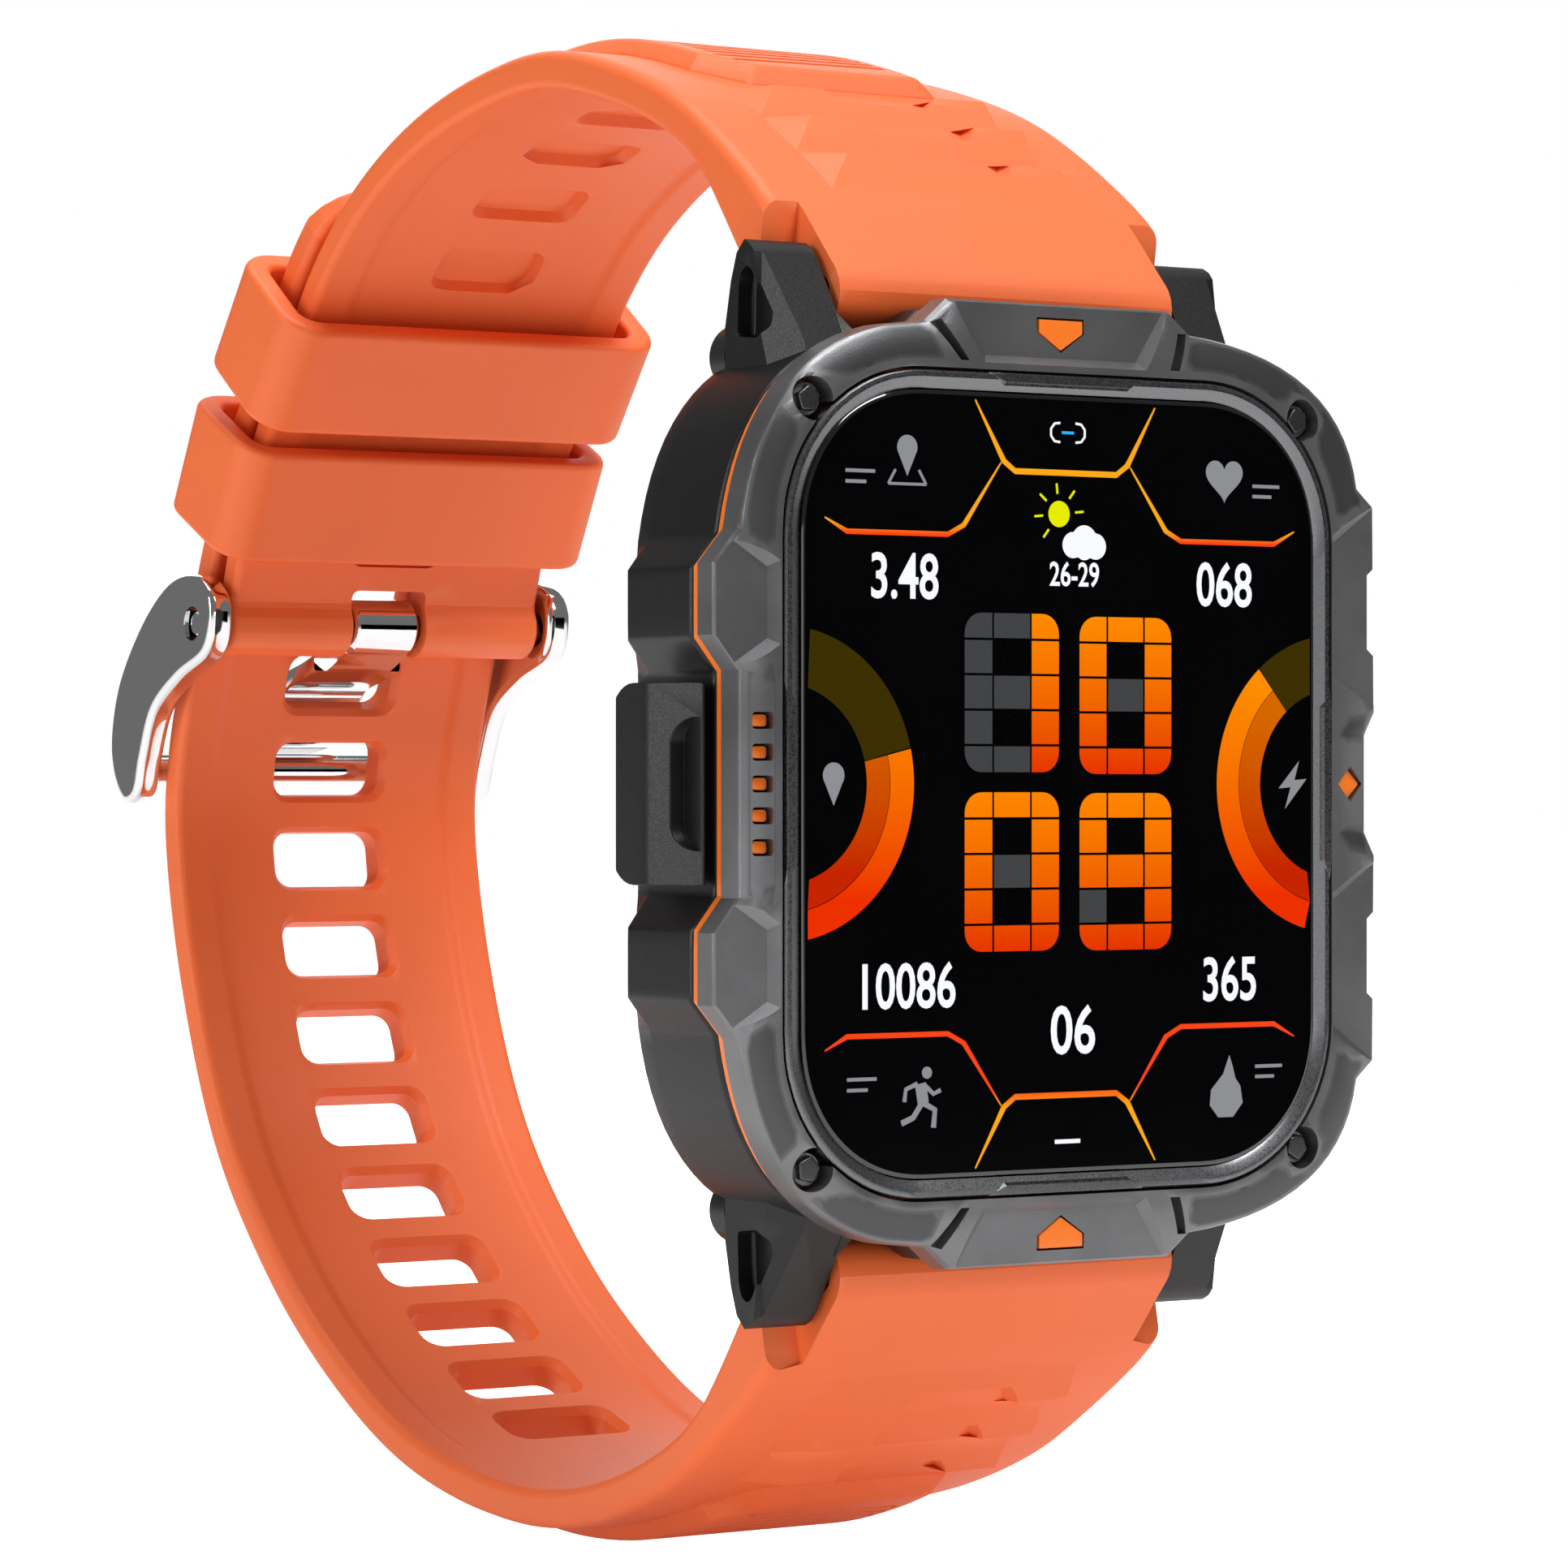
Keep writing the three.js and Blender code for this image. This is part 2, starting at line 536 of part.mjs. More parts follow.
add('strap_lower', strapLower(), 'strap');

[['spring_bar_upper', SPRING_BAR.z], ['spring_bar_lower', -SPRING_BAR.z]].forEach(([name, z]) => {
  const bar = join(
    rod(SPRING_BAR.r, SPRING_BAR.y, z, -13.2, 13.2, 14),
    rod(0.45, SPRING_BAR.y, z, -14.3, 14.3, 10),
  );
  add(name, bar, 'silver');
});

// ---------------------------------------------------------------- keepers
// Each keeper is a rounded band round both strap layers, turned to lie square to the short strap half.
const layerGap = 2.8; // between the centre lines of the two layers
const stackHalf = (layerGap + STRAP.thick) / 2;

function keeper(length) {
  const { at, tangent, away } = station(upperPath, length, 1);
  const middle = at.clone().addScaledVector(away, layerGap / 2);
  const inward = away.clone().negate();
  const across = new THREE.Vector3().crossVectors(inward, tangent);
  const matrix = new THREE.Matrix4().makeBasis(across, inward, tangent).setPosition(middle);
  const room = stackHalf + KEEPER.room;
  const shape = roundedRect(KEEPER.x, room + KEEPER.wall, 2.6);
  shape.holes.push(roundedRect(STRAP.waist + KEEPER.room, room, 1.2));
  const centred = new THREE.Matrix4().makeTranslation(0, 0, -KEEPER.width / 2);
  return extrude(shape, KEEPER.width, matrix.multiply(centred), 3);
}

function lengthNear(path, y, z) {
  const target = new THREE.Vector3(0, y, z);
  const total = path.getLength();
  let best = 0;
  for (let length = 0; length <= total; length += 0.05) {
    const here = path.getPointAt(length / total).distanceTo(target);
    best = here < path.getPointAt(best / total).distanceTo(target) ? length : best;
  }
  return best;
}
add('keeper_sliding', keeper(lengthNear(upperPath, 70.0, 28.4)), 'orange');
add('keeper_fixed', keeper(lengthNear(upperPath, 75.8, 19.9)), 'orange');

// ---------------------------------------------------------------- buckle
add('buckle_pin', rod(PIN.r, PIN.y, PIN.z, -PIN.half, PIN.half, 14), 'chrome');

function buckleFrame() {
  const leaf = new THREE.Shape();
  leaf.moveTo(76.4, 11.4);
  leaf.splineThru([
    point(77.4, 8.6), point(81.4, 7.1), point(84.9, 4.9), point(86.6, 1.6), point(87.4, -0.9),
    point(89.3, -1.3), point(90.9, 0.6), point(91.3, 3.4), point(90.0, 7.2), point(86.6, 11.2),
    point(82.8, 13.8), point(79.4, 14.2), point(77.1, 13.2), point(76.4, 11.4),
  ]);
  return cut(
    join(
      sidePlate(leaf, ARM.inner, ARM.outer, 2),
      sidePlate(leaf, -ARM.outer, -ARM.inner, 2),
      rod(BAR.r, BAR.y, BAR.z, -ARM.inner - 0.5, ARM.inner + 0.5, 16),
    ),
    rod(PIN.r + FIT, PIN.y, PIN.z, -20, 20, 14),
  );
}
add('buckle_frame', buckleFrame(), 'chrome');

// The tongue leaves the pin's underside, goes through the strap hole and bends down over the bar.
const tongueRoute = [[79.3, 9.5], [81.4, 8.5], [83.4, 7.85], [86.5, 6.9], [88.7, 4.8], [90.8, 2.3]];

function buckleTongue() {
  const path = route(tongueRoute);
  const steps = 12;
  const upper = [];
  const lower = [];
  for (let i = 0; i <= steps; i += 1) {
    const { at, away } = station(path, (path.getLength() * i) / steps, 1);
    const half = (i === steps ? 0.6 : 1) * (TONGUE.thick / 2);
    upper.push([at.y + away.y * half, at.z + away.z * half]);
    lower.push([at.y - away.y * half, at.z - away.z * half]);
  }
  const strip = [...upper, ...lower.reverse()];
  const waste = (x) => span(x, x * 3, PIN.y - 3, PIN.y + 2.5, PIN.z - 3, PIN.z + 3);
  return cut(
    join(
      sidePlate(polygon(strip), -TONGUE.half, TONGUE.half),
      rod(1.9, PIN.y, PIN.z, -TONGUE.ring, TONGUE.ring),
    ),
    waste(TONGUE.ring),
    waste(-TONGUE.ring),
    rod(PIN.r + FIT, PIN.y, PIN.z, -20, 20, 14),
  );
}
add('buckle_tongue', buckleTongue(), 'chrome');

// ---------------------------------------------------------------- the origin goes to the wrist face
const part = new THREE.Group();
watch.position.y = -CASE_THICKNESS;
part.add(watch);

export default part;
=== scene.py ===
import json
import math
from contextlib import contextmanager

import bmesh
import bpy
from mathutils import Matrix, Vector

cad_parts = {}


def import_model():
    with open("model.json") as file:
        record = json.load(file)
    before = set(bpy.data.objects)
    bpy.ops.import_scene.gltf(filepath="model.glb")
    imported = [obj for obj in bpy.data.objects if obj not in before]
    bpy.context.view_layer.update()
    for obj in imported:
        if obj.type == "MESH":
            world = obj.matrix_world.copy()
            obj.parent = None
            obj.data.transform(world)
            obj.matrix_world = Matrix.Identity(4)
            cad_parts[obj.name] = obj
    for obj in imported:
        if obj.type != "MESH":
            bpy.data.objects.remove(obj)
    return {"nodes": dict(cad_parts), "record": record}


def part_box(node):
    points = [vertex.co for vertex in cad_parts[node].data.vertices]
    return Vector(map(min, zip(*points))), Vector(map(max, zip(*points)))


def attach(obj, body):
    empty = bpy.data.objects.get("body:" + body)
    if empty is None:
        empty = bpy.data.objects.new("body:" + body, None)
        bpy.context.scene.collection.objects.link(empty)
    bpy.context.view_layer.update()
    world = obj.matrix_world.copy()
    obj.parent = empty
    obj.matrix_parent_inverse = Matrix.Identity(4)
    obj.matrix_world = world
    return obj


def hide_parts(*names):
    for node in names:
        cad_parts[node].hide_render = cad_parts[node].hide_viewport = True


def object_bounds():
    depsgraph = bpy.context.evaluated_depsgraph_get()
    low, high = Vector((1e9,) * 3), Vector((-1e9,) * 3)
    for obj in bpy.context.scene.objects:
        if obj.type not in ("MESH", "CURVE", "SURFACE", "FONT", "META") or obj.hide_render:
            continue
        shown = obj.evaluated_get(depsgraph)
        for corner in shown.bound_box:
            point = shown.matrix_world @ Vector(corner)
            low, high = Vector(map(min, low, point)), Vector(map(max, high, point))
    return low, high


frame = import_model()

cad_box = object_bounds()

# Shapes are drawn in millimetres, with Y = 0 on the front plane of the glass and Y growing towards the wrist.
# to_frame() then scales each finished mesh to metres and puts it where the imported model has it.
MM = 0.001
FRONT_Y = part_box("display_trim_ring")[0].y
TO_FRAME = Matrix.Translation((0, FRONT_Y, 0)) @ Matrix.Scale(MM, 4)


# ------------------------------------------------------------------ mesh helpers
def placed(name, data):
    obj = bpy.data.objects.new(name, data)
    bpy.context.scene.collection.objects.link(obj)
    return obj


@contextmanager
def editing(mesh):
    """A bmesh of the mesh, written back when the block ends."""
    work = bmesh.new()
    work.from_mesh(mesh)
    yield work
    work.to_mesh(mesh)
    work.free()


def new_object(name, vertices, faces):
    mesh = bpy.data.meshes.new(name)
    mesh.from_pydata([tuple(v) for v in vertices], [], faces)
    mesh.validate()
    with editing(mesh) as work:
        bmesh.ops.recalc_face_normals(work, faces=work.faces)
    return placed(name, mesh)


def bake(obj):
    """Turns the object's modifiers into its mesh."""
    graph = bpy.context.evaluated_depsgraph_get()
    mesh = bpy.data.meshes.new_from_object(obj.evaluated_get(graph))
    obj.modifiers.clear()
    old = obj.data
    obj.data = mesh
    bpy.data.meshes.remove(old)
    return obj


def merge(name, parts):
    """One object holding the meshes of several."""
    mesh = bpy.data.meshes.new(name)
    with editing(mesh) as work:
        for part in parts:
            work.from_mesh(part.data)
            bpy.data.objects.remove(part)
    return placed(name, mesh)


def boolean(obj, tools, operation="DIFFERENCE"):
    for tool in tools:
        modifier = obj.modifiers.new("boolean", "BOOLEAN")
        modifier.object = tool
        modifier.operation = operation
        modifier.solver = "EXACT"
        modifier.use_self = True
    bake(obj)
    for tool in tools:
        bpy.data.objects.remove(tool)
    return obj


def cut(obj, *tools):
    return boolean(obj, tools)


def union(obj, *tools):
    return boolean(obj, tools, "UNION")


def tidy(obj, angle=1.0):
    """Joins the flat triangles that a boolean leaves, so that a bevel runs clean."""
    with editing(obj.data) as work:
        bmesh.ops.remove_doubles(work, verts=work.verts, dist=0.002)
        bmesh.ops.dissolve_limit(work, angle_limit=math.radians(angle), verts=work.verts, edges=work.edges)
    return obj


def bevel(obj, width, segments=3, angle=32):
    modifier = obj.modifiers.new("bevel", "BEVEL")
    modifier.width = width
    modifier.segments = segments
    modifier.limit_method = "ANGLE"
    modifier.angle_limit = math.radians(angle)
    modifier.miter_outer = "MITER_ARC"
    return bake(obj)


def to_frame(obj, body, material, replaces=(), smooth=35):
    """Finishes a piece: metres, smooth shading, material and body, and hides the CAD parts it replaces."""
    obj.data.transform(TO_FRAME)
    obj.data.polygons.foreach_set("use_smooth", [True] * len(obj.data.polygons))
    obj.data.set_sharp_from_angle(angle=math.radians(smooth))
    obj.data.update()
    obj.modifiers.new("normals", "WEIGHTED_NORMAL").keep_sharp = True
    obj.data.materials.clear()
    obj.data.materials.append(material)
    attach(obj, body)
    if replaces:
        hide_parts(*replaces)
    return obj


def rings(loops, closed_ends=True, ring_closed=False):
    """Faces between equal loops of points; ring_closed joins the last loop to the first."""
    count = len(loops[0])
    vertices = [p for loop in loops for p in loop]
    faces = []
    spans = len(loops) if ring_closed else len(loops) - 1
    for i in range(spans):
        a, b = i * count, ((i + 1) % len(loops)) * count
        for j in range(count):
            k = (j + 1) % count
            faces.append((a + j, a + k, b + k, b + j))
    if closed_ends and not ring_closed:
        faces.append(tuple(range(count - 1, -1, -1)))
        faces.append(tuple(range(len(vertices) - count, len(vertices))))
    return vertices, faces


def prism(name, outline, front, back, draft=0.0):
    """An outline of (x, z) points between two depths; draft moves the front edge outwards from the centre."""
    cx = sum(x for x, _ in outline) / len(outline)
    cz = sum(z for _, z in outline) / len(outline)
    first = []
    for x, z in outline:
        away = Vector((x - cx, z - cz))
        away = away.normalized() * draft if away.length else away
        first.append((x + away.x, front, z + away.y))
    return new_object(name, *rings([first, [(x, back, z) for x, z in outline]]))


def side_prism(name, outline, left, right):
    """An outline of (y, z) points between two X positions."""
    return new_object(name, *rings([[(left, y, z) for y, z in outline], [(right, y, z) for y, z in outline]]))


def box(name, x0, x1, y0, y1, z0, z1):
    return prism(name, [(x0, z0), (x1, z0), (x1, z1), (x0, z1)], y0, y1)


def circle(radius, count=48, cx=0.0, cz=0.0, turn=0.0):
    angles = [turn + 2 * math.pi * i / count for i in range(count)]
    return [(cx + radius * math.cos(a), cz + radius * math.sin(a)) for a in angles]


def lathe(name, profile, count, place):
    """Spins (radius, height) points about an axis; place turns and moves the result."""
    loops = []
    for radius, height in profile:
        r = max(radius, 1e-4)
        loops.append([place @ Vector((x, y, height)) for x, y in circle(r, count)])
    return new_object(name, *rings(loops))


ALONG_Y = Matrix.Rotation(-math.pi / 2, 4, "X")
ALONG_X = Matrix.Rotation(math.pi / 2, 4, "Y")


def rounded_rect(half_x, half_z, radius, cx=0.0, cz=0.0, count=12, power=2.0):
    """Rounded rectangle; a power above 2 gives the squarer corners of a superellipse."""
    points = []
    for sx, sz, start in ((1, 1, 0), (-1, 1, 1), (-1, -1, 2), (1, -1, 3)):
        for i in range(count + 1):
            angle = math.pi / 2 * (i / count if start % 2 == 0 else 1 - i / count)
            x = radius * math.cos(angle) ** (2 / power) if angle < math.pi / 2 else 0.0
            z = radius * math.sin(angle) ** (2 / power)
            points.append((cx + sx * (half_x - radius + x), cz + sz * (half_z - radius + z)))
    return points


def resample(outline, angles):
    """Points where rays from the centre meet a star-shaped outline."""
    result = []
    for angle in angles:
        ray = Vector((math.cos(angle), math.sin(angle)))
        best = 0.0
        for (x0, z0), (x1, z1) in zip(outline, outline[1:] + outline[:1]):
            ex, ez = x1 - x0, z1 - z0
            det = ray.x * ez - ray.y * ex
            if abs(det) < 1e-12:
                continue
            distance = (x0 * ez - z0 * ex) / det
            along = (x0 * ray.y - z0 * ray.x) / det
            if distance > best and -1e-9 <= along <= 1 + 1e-9:
                best = distance
        result.append((ray.x * best, ray.y * best))
    return result


# ------------------------------------------------------------------ outlines seen from the front
TOP_Z = 27.4
BUMP_X = 23.65


def bow(start, control, end, count=14):
    """Points after start on a quadratic curve."""
    points = []
    for i in range(1, count + 1):
        t = i / count
        a, b, c = (1 - t) ** 2, 2 * t * (1 - t), t * t
        points.append(tuple(a * p + b * q + c * r for p, q, r in zip(start, control, end)))
    return points


def case_outline(inset=0.0):
    half = [(-22.1, 6.3), (-BUMP_X, 8.2), (-BUMP_X, 12.2), (-22.0, 14.1)]
    half += bow((-22.0, 14.1), (-20.6, 23.9), (-12.5, 25.75))
    half += [(-9.4, 26.1), (-7.9, TOP_Z), (7.9, TOP_Z), (9.4, 26.1)]
    half += bow((9.4, 26.1), (20.9, 25.0), (22.0, 17.6))
    half += [(23.3, 16.5), (23.4, 4.3), (22.6, 2.9)]
    sx, sz = (BUMP_X - inset) / BUMP_X, (TOP_Z - inset) / TOP_Z
    upper = [(x * sx, z * sz) for x, z in half]
    return upper + [(x, -z) for x, z in reversed(upper)]


def glass_outline(grow=0.0):
    return rounded_rect(18.26 + grow, 22.2 + grow, 8.4 + grow, count=20, power=2.15)


def ring_angles(count=220):
    """Even angles, and the exact angles of the case outline's corners."""
    even = {round(2 * math.pi * i / count, 5) for i in range(count)}
    corners = {round(math.atan2(z, x) % (2 * math.pi), 5) for x, z in case_outline()}
    kept = [a for a in even if all(abs(a - c) > 0.012 for c in corners)]
    return sorted(kept + list(corners))


ANGLES = ring_angles()


# ------------------------------------------------------------------ materials
def set_inputs(node, values):
    for socket, value in values.items():
        node.inputs[socket].default_value = value


def add_node(material, kind, values=(), feeds=()):
    """Adds a shader node; values sets its sockets, and feeds lists (socket, output that goes into it)."""
    node = material.node_tree.nodes.new("ShaderNode" + kind)
    if kind == "Mix":
        node.data_type = "RGBA"
    set_inputs(node, dict(values))
    for socket, output in feeds:
        material.node_tree.links.new(output, node.inputs[socket])
    return node


def shader(name, colour, roughness, metallic=0.0):
    material = bpy.data.materials.new(name)
    material.use_nodes = True
    principled = material.node_tree.nodes["Principled BSDF"]
    set_inputs(principled, {"Base Color": (*colour, 1), "Roughness": roughness, "Metallic": metallic})
    return material, material.node_tree.links, principled


def surface(name, colour, roughness, metallic=0.0, grain=9000.0, bump=0.02, mottle=0.06, spread=0.08,
            stretch=(1, 1, 1), edge_wear_and_highlight=None, coat=0.0, bump_height=0.00004, specular=0.5):
    """A moulded or machined finish: fine grain in bump and roughness, soft colour drift, and lighter convex
    edges broken by noise, partly edge wear and partly a painted highlight along the edges.
    """
    material, links, principled = shader(name, colour, roughness, metallic)
    place = add_node(material, "TexCoord").outputs["Object"]
    scale = add_node(material, "Mapping", {"Scale": stretch}, [("Vector", place)])
    fine = add_node(material, "TexNoise", {"Scale": grain, "Detail": 3},
                    [("Vector", scale.outputs["Vector"])]).outputs["Fac"]
    drift = add_node(material, "TexNoise", {"Scale": 130, "Detail": 4}, [("Vector", place)]).outputs["Fac"]
    dark, light = [(*[min(1, max(0, c * (1 + change))) for c in colour], 1) for change in (-mottle, mottle)]
    tint = add_node(material, "Mix", {"A": dark, "B": light}, [("Factor", drift)])
    rough = add_node(material, "MapRange", {
        "From Min": 0.3, "From Max": 0.7, "To Min": max(0.02, roughness - spread),
        "To Max": min(1, roughness + spread)}, [("Value", fine)])
    links.new(rough.outputs["Result"], principled.inputs["Roughness"])
    colour_out = tint.outputs["Result"]
    # Lighter colour on convex edges, picked by pointiness and broken by noise: a painted highlight along the
    # edges, partly edge wear.
    if edge_wear_and_highlight:
        edge = add_node(material, "NewGeometry").outputs["Pointiness"]
        pick = add_node(material, "MapRange", {"From Min": 0.56, "From Max": 0.66}, [("Value", edge)])
        edge_wear_and_highlight_mask = add_node(material, "Math", (), [(0, pick.outputs["Result"]), (1, drift)])
        edge_wear_and_highlight_mask.operation = "MULTIPLY"
        edge_wear_and_highlight_mix = add_node(material, "Mix", {"B": (*edge_wear_and_highlight, 1)},
                        [("Factor", edge_wear_and_highlight_mask.outputs["Value"]), ("A", colour_out)])
        colour_out = edge_wear_and_highlight_mix.outputs["Result"]
    links.new(colour_out, principled.inputs["Base Color"])
    if bump:
        relief = add_node(material, "Bump", {"Strength": bump, "Distance": bump_height}, [("Height", fine)])
        links.new(relief.outputs["Normal"], principled.inputs["Normal"])
    set_inputs(principled, {"Coat Weight": coat, "Coat Roughness": 0.08, "Specular IOR Level": specular})
    return material


# The edge colours below lighten convex edges: painted highlights along the edges, partly edge wear.
GUNMETAL = surface("gunmetal_coat", (0.082, 0.083, 0.086), 0.33, 0.72, grain=14000, bump=0.22, spread=0.04,
                   mottle=0.03, edge_wear_and_highlight=(0.30, 0.30, 0.31))
RIM_METAL = surface("rim_brushed", (0.20, 0.203, 0.21), 0.30, 1.0, grain=9000, bump=0.05, mottle=0.04)
SCREW_METAL = surface("screw_steel", (0.10, 0.10, 0.105), 0.32, 0.9, grain=9000, bump=0.2,
                      edge_wear_and_highlight=(0.4, 0.4, 0.4))
INNER_METAL = surface("inner_steel", (0.55, 0.56, 0.58), 0.3, 1.0, grain=6000, bump=0.2, stretch=(8, 1, 1))
BLACK = surface("case_polymer", (0.0055, 0.0056, 0.006), 0.36, grain=11000, bump=0.22,
                edge_wear_and_highlight=(0.022, 0.022, 0.024), specular=0.38)
ORANGE = surface("orange_trim", (0.95, 0.19, 0.008), 0.36, grain=8000, bump=0.12, mottle=0.04, coat=0.25)
# The strap's edge colour is its lit orange: a painted highlight on its convex edges.
STRAP = surface("strap_elastomer", (0.92, 0.165, 0.036), 0.50, grain=7000, bump=0.30, mottle=0.05,
                spread=0.07, edge_wear_and_highlight=(0.98, 0.24, 0.09), bump_height=0.00003)
CHROME = surface("buckle_chrome", (0.80, 0.80, 0.81), 0.07, 1.0, grain=3000, bump=0.02, mottle=0.02,
                 spread=0.03)
RUBBER = surface("seal_rubber", (0.02, 0.02, 0.02), 0.7, grain=6000, bump=0.4)
GOLD = surface("contact_gold", (0.80, 0.58, 0.22), 0.2, 1.0, grain=5000, bump=0.1)
BOARD = surface("circuit_board", (0.015, 0.12, 0.045), 0.45, grain=2600, bump=0.3, mottle=0.3)
FOIL = surface("battery_foil", (0.45, 0.46, 0.48), 0.35, 0.6, grain=1200, bump=0.3)
SENSOR = surface("sensor_glass", (0.006, 0.006, 0.008), 0.06, grain=5000, bump=0.02, spread=0.02, coat=1.0)
GLASS = surface("cover_glass", (0.0015, 0.0016, 0.002), 0.035, grain=2000, bump=0.0, mottle=0.2, spread=0.012,
                coat=1.0)


def light_ink(name, colour, strength=1.0, other=None, low=0.0, high=1.0):
    """A lit area of the display, with a vertical blend to a second colour between two heights in metres."""
    material, links, principled = shader(name, (0.0, 0.0, 0.0), 0.05)
    principled.inputs["Emission Strength"].default_value = strength
    place = add_node(material, "TexCoord").outputs["Object"]
    height = add_node(material, "SeparateXYZ", (), [("Vector", place)]).outputs["Z"]
    ramp = add_node(material, "MapRange", {"From Min": low, "From Max": high}, [("Value", height)])
    mix = add_node(material, "Mix", {"A": (*(other or colour), 1), "B": (*colour, 1)},
                   [("Factor", ramp.outputs["Result"])])
    links.new(mix.outputs["Result"], principled.inputs["Emission Color"])
    return material


# ------------------------------------------------------------------ camera, light and stage
VIEW_TURN = math.radians(34.0)
LENS_MM = 128.92
CAMERA_AT = TO_FRAME @ Vector((-192.6, -256.6, 0.0))
FLOOR_HALF, FLOOR_GAP = 4.0, 0.004
LIGHT_AIM = (0, 0.03, 0)
# Lights as (name, place, size, power in watts), in metres.
LIGHTS = [
    ("key", (0.18, -0.62, 0.78), (0.40, 0.40), 6.4),
    ("left_strip", (-0.78, 0.05, 0.20), (0.14, 0.6), 2.2),
    ("front_fill", (-0.35, -0.90, -0.15), (0.5, 0.5), 1.3),
    ("top", (0.05, 0.10, 0.85), (0.7, 0.5), 4.6),
    ("back", (0.45, 0.80, 0.35), (0.6, 0.6), 2.0),
]


def camera():
    data = bpy.data.cameras.new("camera")
    data.lens = LENS_MM
    data.sensor_width = 36.0
    data.clip_start = 0.01
    obj = placed("camera", data)
    obj.location = CAMERA_AT
    obj.rotation_euler = (math.pi / 2, 0, -VIEW_TURN)
    bpy.context.scene.camera = obj


def area_light(name, at, size, power):
    data = bpy.data.lights.new(name, "AREA")
    data.shape = "RECTANGLE"
    data.size, data.size_y = size
    data.energy = power
    obj = placed(name, data)
    obj.location = at
    obj.rotation_euler = (Vector(LIGHT_AIM) - Vector(at)).to_track_quat("-Z", "Y").to_euler()


def card(name, centre, normal, size):
    """A flat black card that shows only in reflections, as a studio's flags do."""
    across = Vector(normal).cross(Vector((0, 0, 1))).normalized() * size[0] / 2
    up = across.cross(Vector(normal)).normalized() * size[1] / 2
    corners = [Vector(centre) + across * a + up * b for a, b in ((-1, -1), (1, -1), (1, 1), (-1, 1))]
    obj = new_object(name, corners, [(0, 1, 2, 3)])
    material, _, principled = shader(name, (0, 0, 0), 1.0)
    principled.inputs["Specular IOR Level"].default_value = 0.0
    obj.data.materials.append(material)
    obj.visible_camera = obj.visible_diffuse = obj.visible_shadow = obj.visible_transmission = False


def world():
    """White to the camera, and a weaker even fill for everything else."""
    sky = bpy.data.worlds.new("studio")
    sky.use_nodes = True
    fill = sky.node_tree.nodes["Background"]
    set_inputs(fill, {"Color": (1, 1, 1, 1), "Strength": 0.17})
    seen = add_node(sky, "Background", {"Color": (1, 1, 1, 1), "Strength": 1.0})
    ray = add_node(sky, "LightPath").outputs["Is Camera Ray"]
    mix = add_node(sky, "MixShader", (), [("Fac", ray), (1, fill.outputs["Background"]),
                                          (2, seen.outputs["Background"])])
    sky.node_tree.links.new(mix.outputs["Shader"], sky.node_tree.nodes["World Output"].inputs["Surface"])
    bpy.context.scene.world = sky
    bpy.context.scene.view_settings.view_transform = "Standard"


def stage():
    world()
    height = Vector(cad_box[0]).z - FLOOR_GAP
    corners = [(x * FLOOR_HALF, y * FLOOR_HALF, height) for x, y in ((-1, -1), (1, -1), (1, 1), (-1, 1))]
    floor = new_object("floor", corners, [(0, 1, 2, 3)])
    material, links, principled = shader("floor_pale", (0.92, 0.92, 0.92), 0.6)
    principled.inputs["Emission Color"].default_value = (1, 1, 1, 1)
    seen = add_node(material, "LightPath").outputs["Is Camera Ray"]
    glow = add_node(material, "MapRange", {"To Min": 0.08, "To Max": 0.88}, [("Value", seen)])
    links.new(glow.outputs["Result"], principled.inputs["Emission Strength"])
    floor.data.materials.append(material)
    for light in LIGHTS:
        area_light(*light)
    mirror = Vector((math.sin(VIEW_TURN), -math.cos(VIEW_TURN), 0))
    card("black_flag", mirror * 0.25, -mirror, (0.16, 0.092))



# ------------------------------------------------------------------ bezel, glass rim and inlays
RIM = (19.4, 23.3, 9.3)
BEZEL_FRONT, BEZEL_EDGE, BEZEL_BACK = 0.1, 0.7, 2.4
SCREW_X, SCREW_Z = 17.4, 21.38
FRONT_SCREWS, BACK_SCREWS = (SCREW_X, SCREW_Z), (14.4, 24.4)
CROWN_Y, CROWN_Z = 6.2, 10.2
BUTTON_Y, BUTTON_Z = 5.9, -10.2
CORNERS = [(-1, 1), (1, 1), (1, -1), (-1, -1)]


def radial_shell(name, inner, outer, section):
    """A closed ring; section lists (share of the way from inner to outer outline, depth) round its profile."""
    inside, outside = resample(inner, ANGLES), resample(outer, ANGLES)
    loops = []
    for (ix, iz), (ox, oz) in zip(inside, outside):
        loops.append([(ix + (ox - ix) * t, y, iz + (oz - iz) * t) for t, y in section])
    return new_object(name, *rings(loops, ring_closed=True))


def hull(name, points):
    """The convex solid round a few points."""
    obj = new_object(name, points, [])
    with editing(obj.data) as work:
        made = bmesh.ops.convex_hull(work, input=work.verts)
        bmesh.ops.delete(work, geom=list(set(made["geom_interior"] + made["geom_unused"])), context="VERTS")
        bmesh.ops.recalc_face_normals(work, faces=work.faces)
    return obj


def corner_rods(name, spot, radius, count, front, back):
    """Four round bars along Y, one at each corner, at (x, z) distances from the centre."""
    return [prism(name, circle(radius, count, x * spot[0], z * spot[1]), front, back) for x, z in CORNERS]


def mirrored(points, side):
    return [(x, y, z * side) for x, y, z in points]


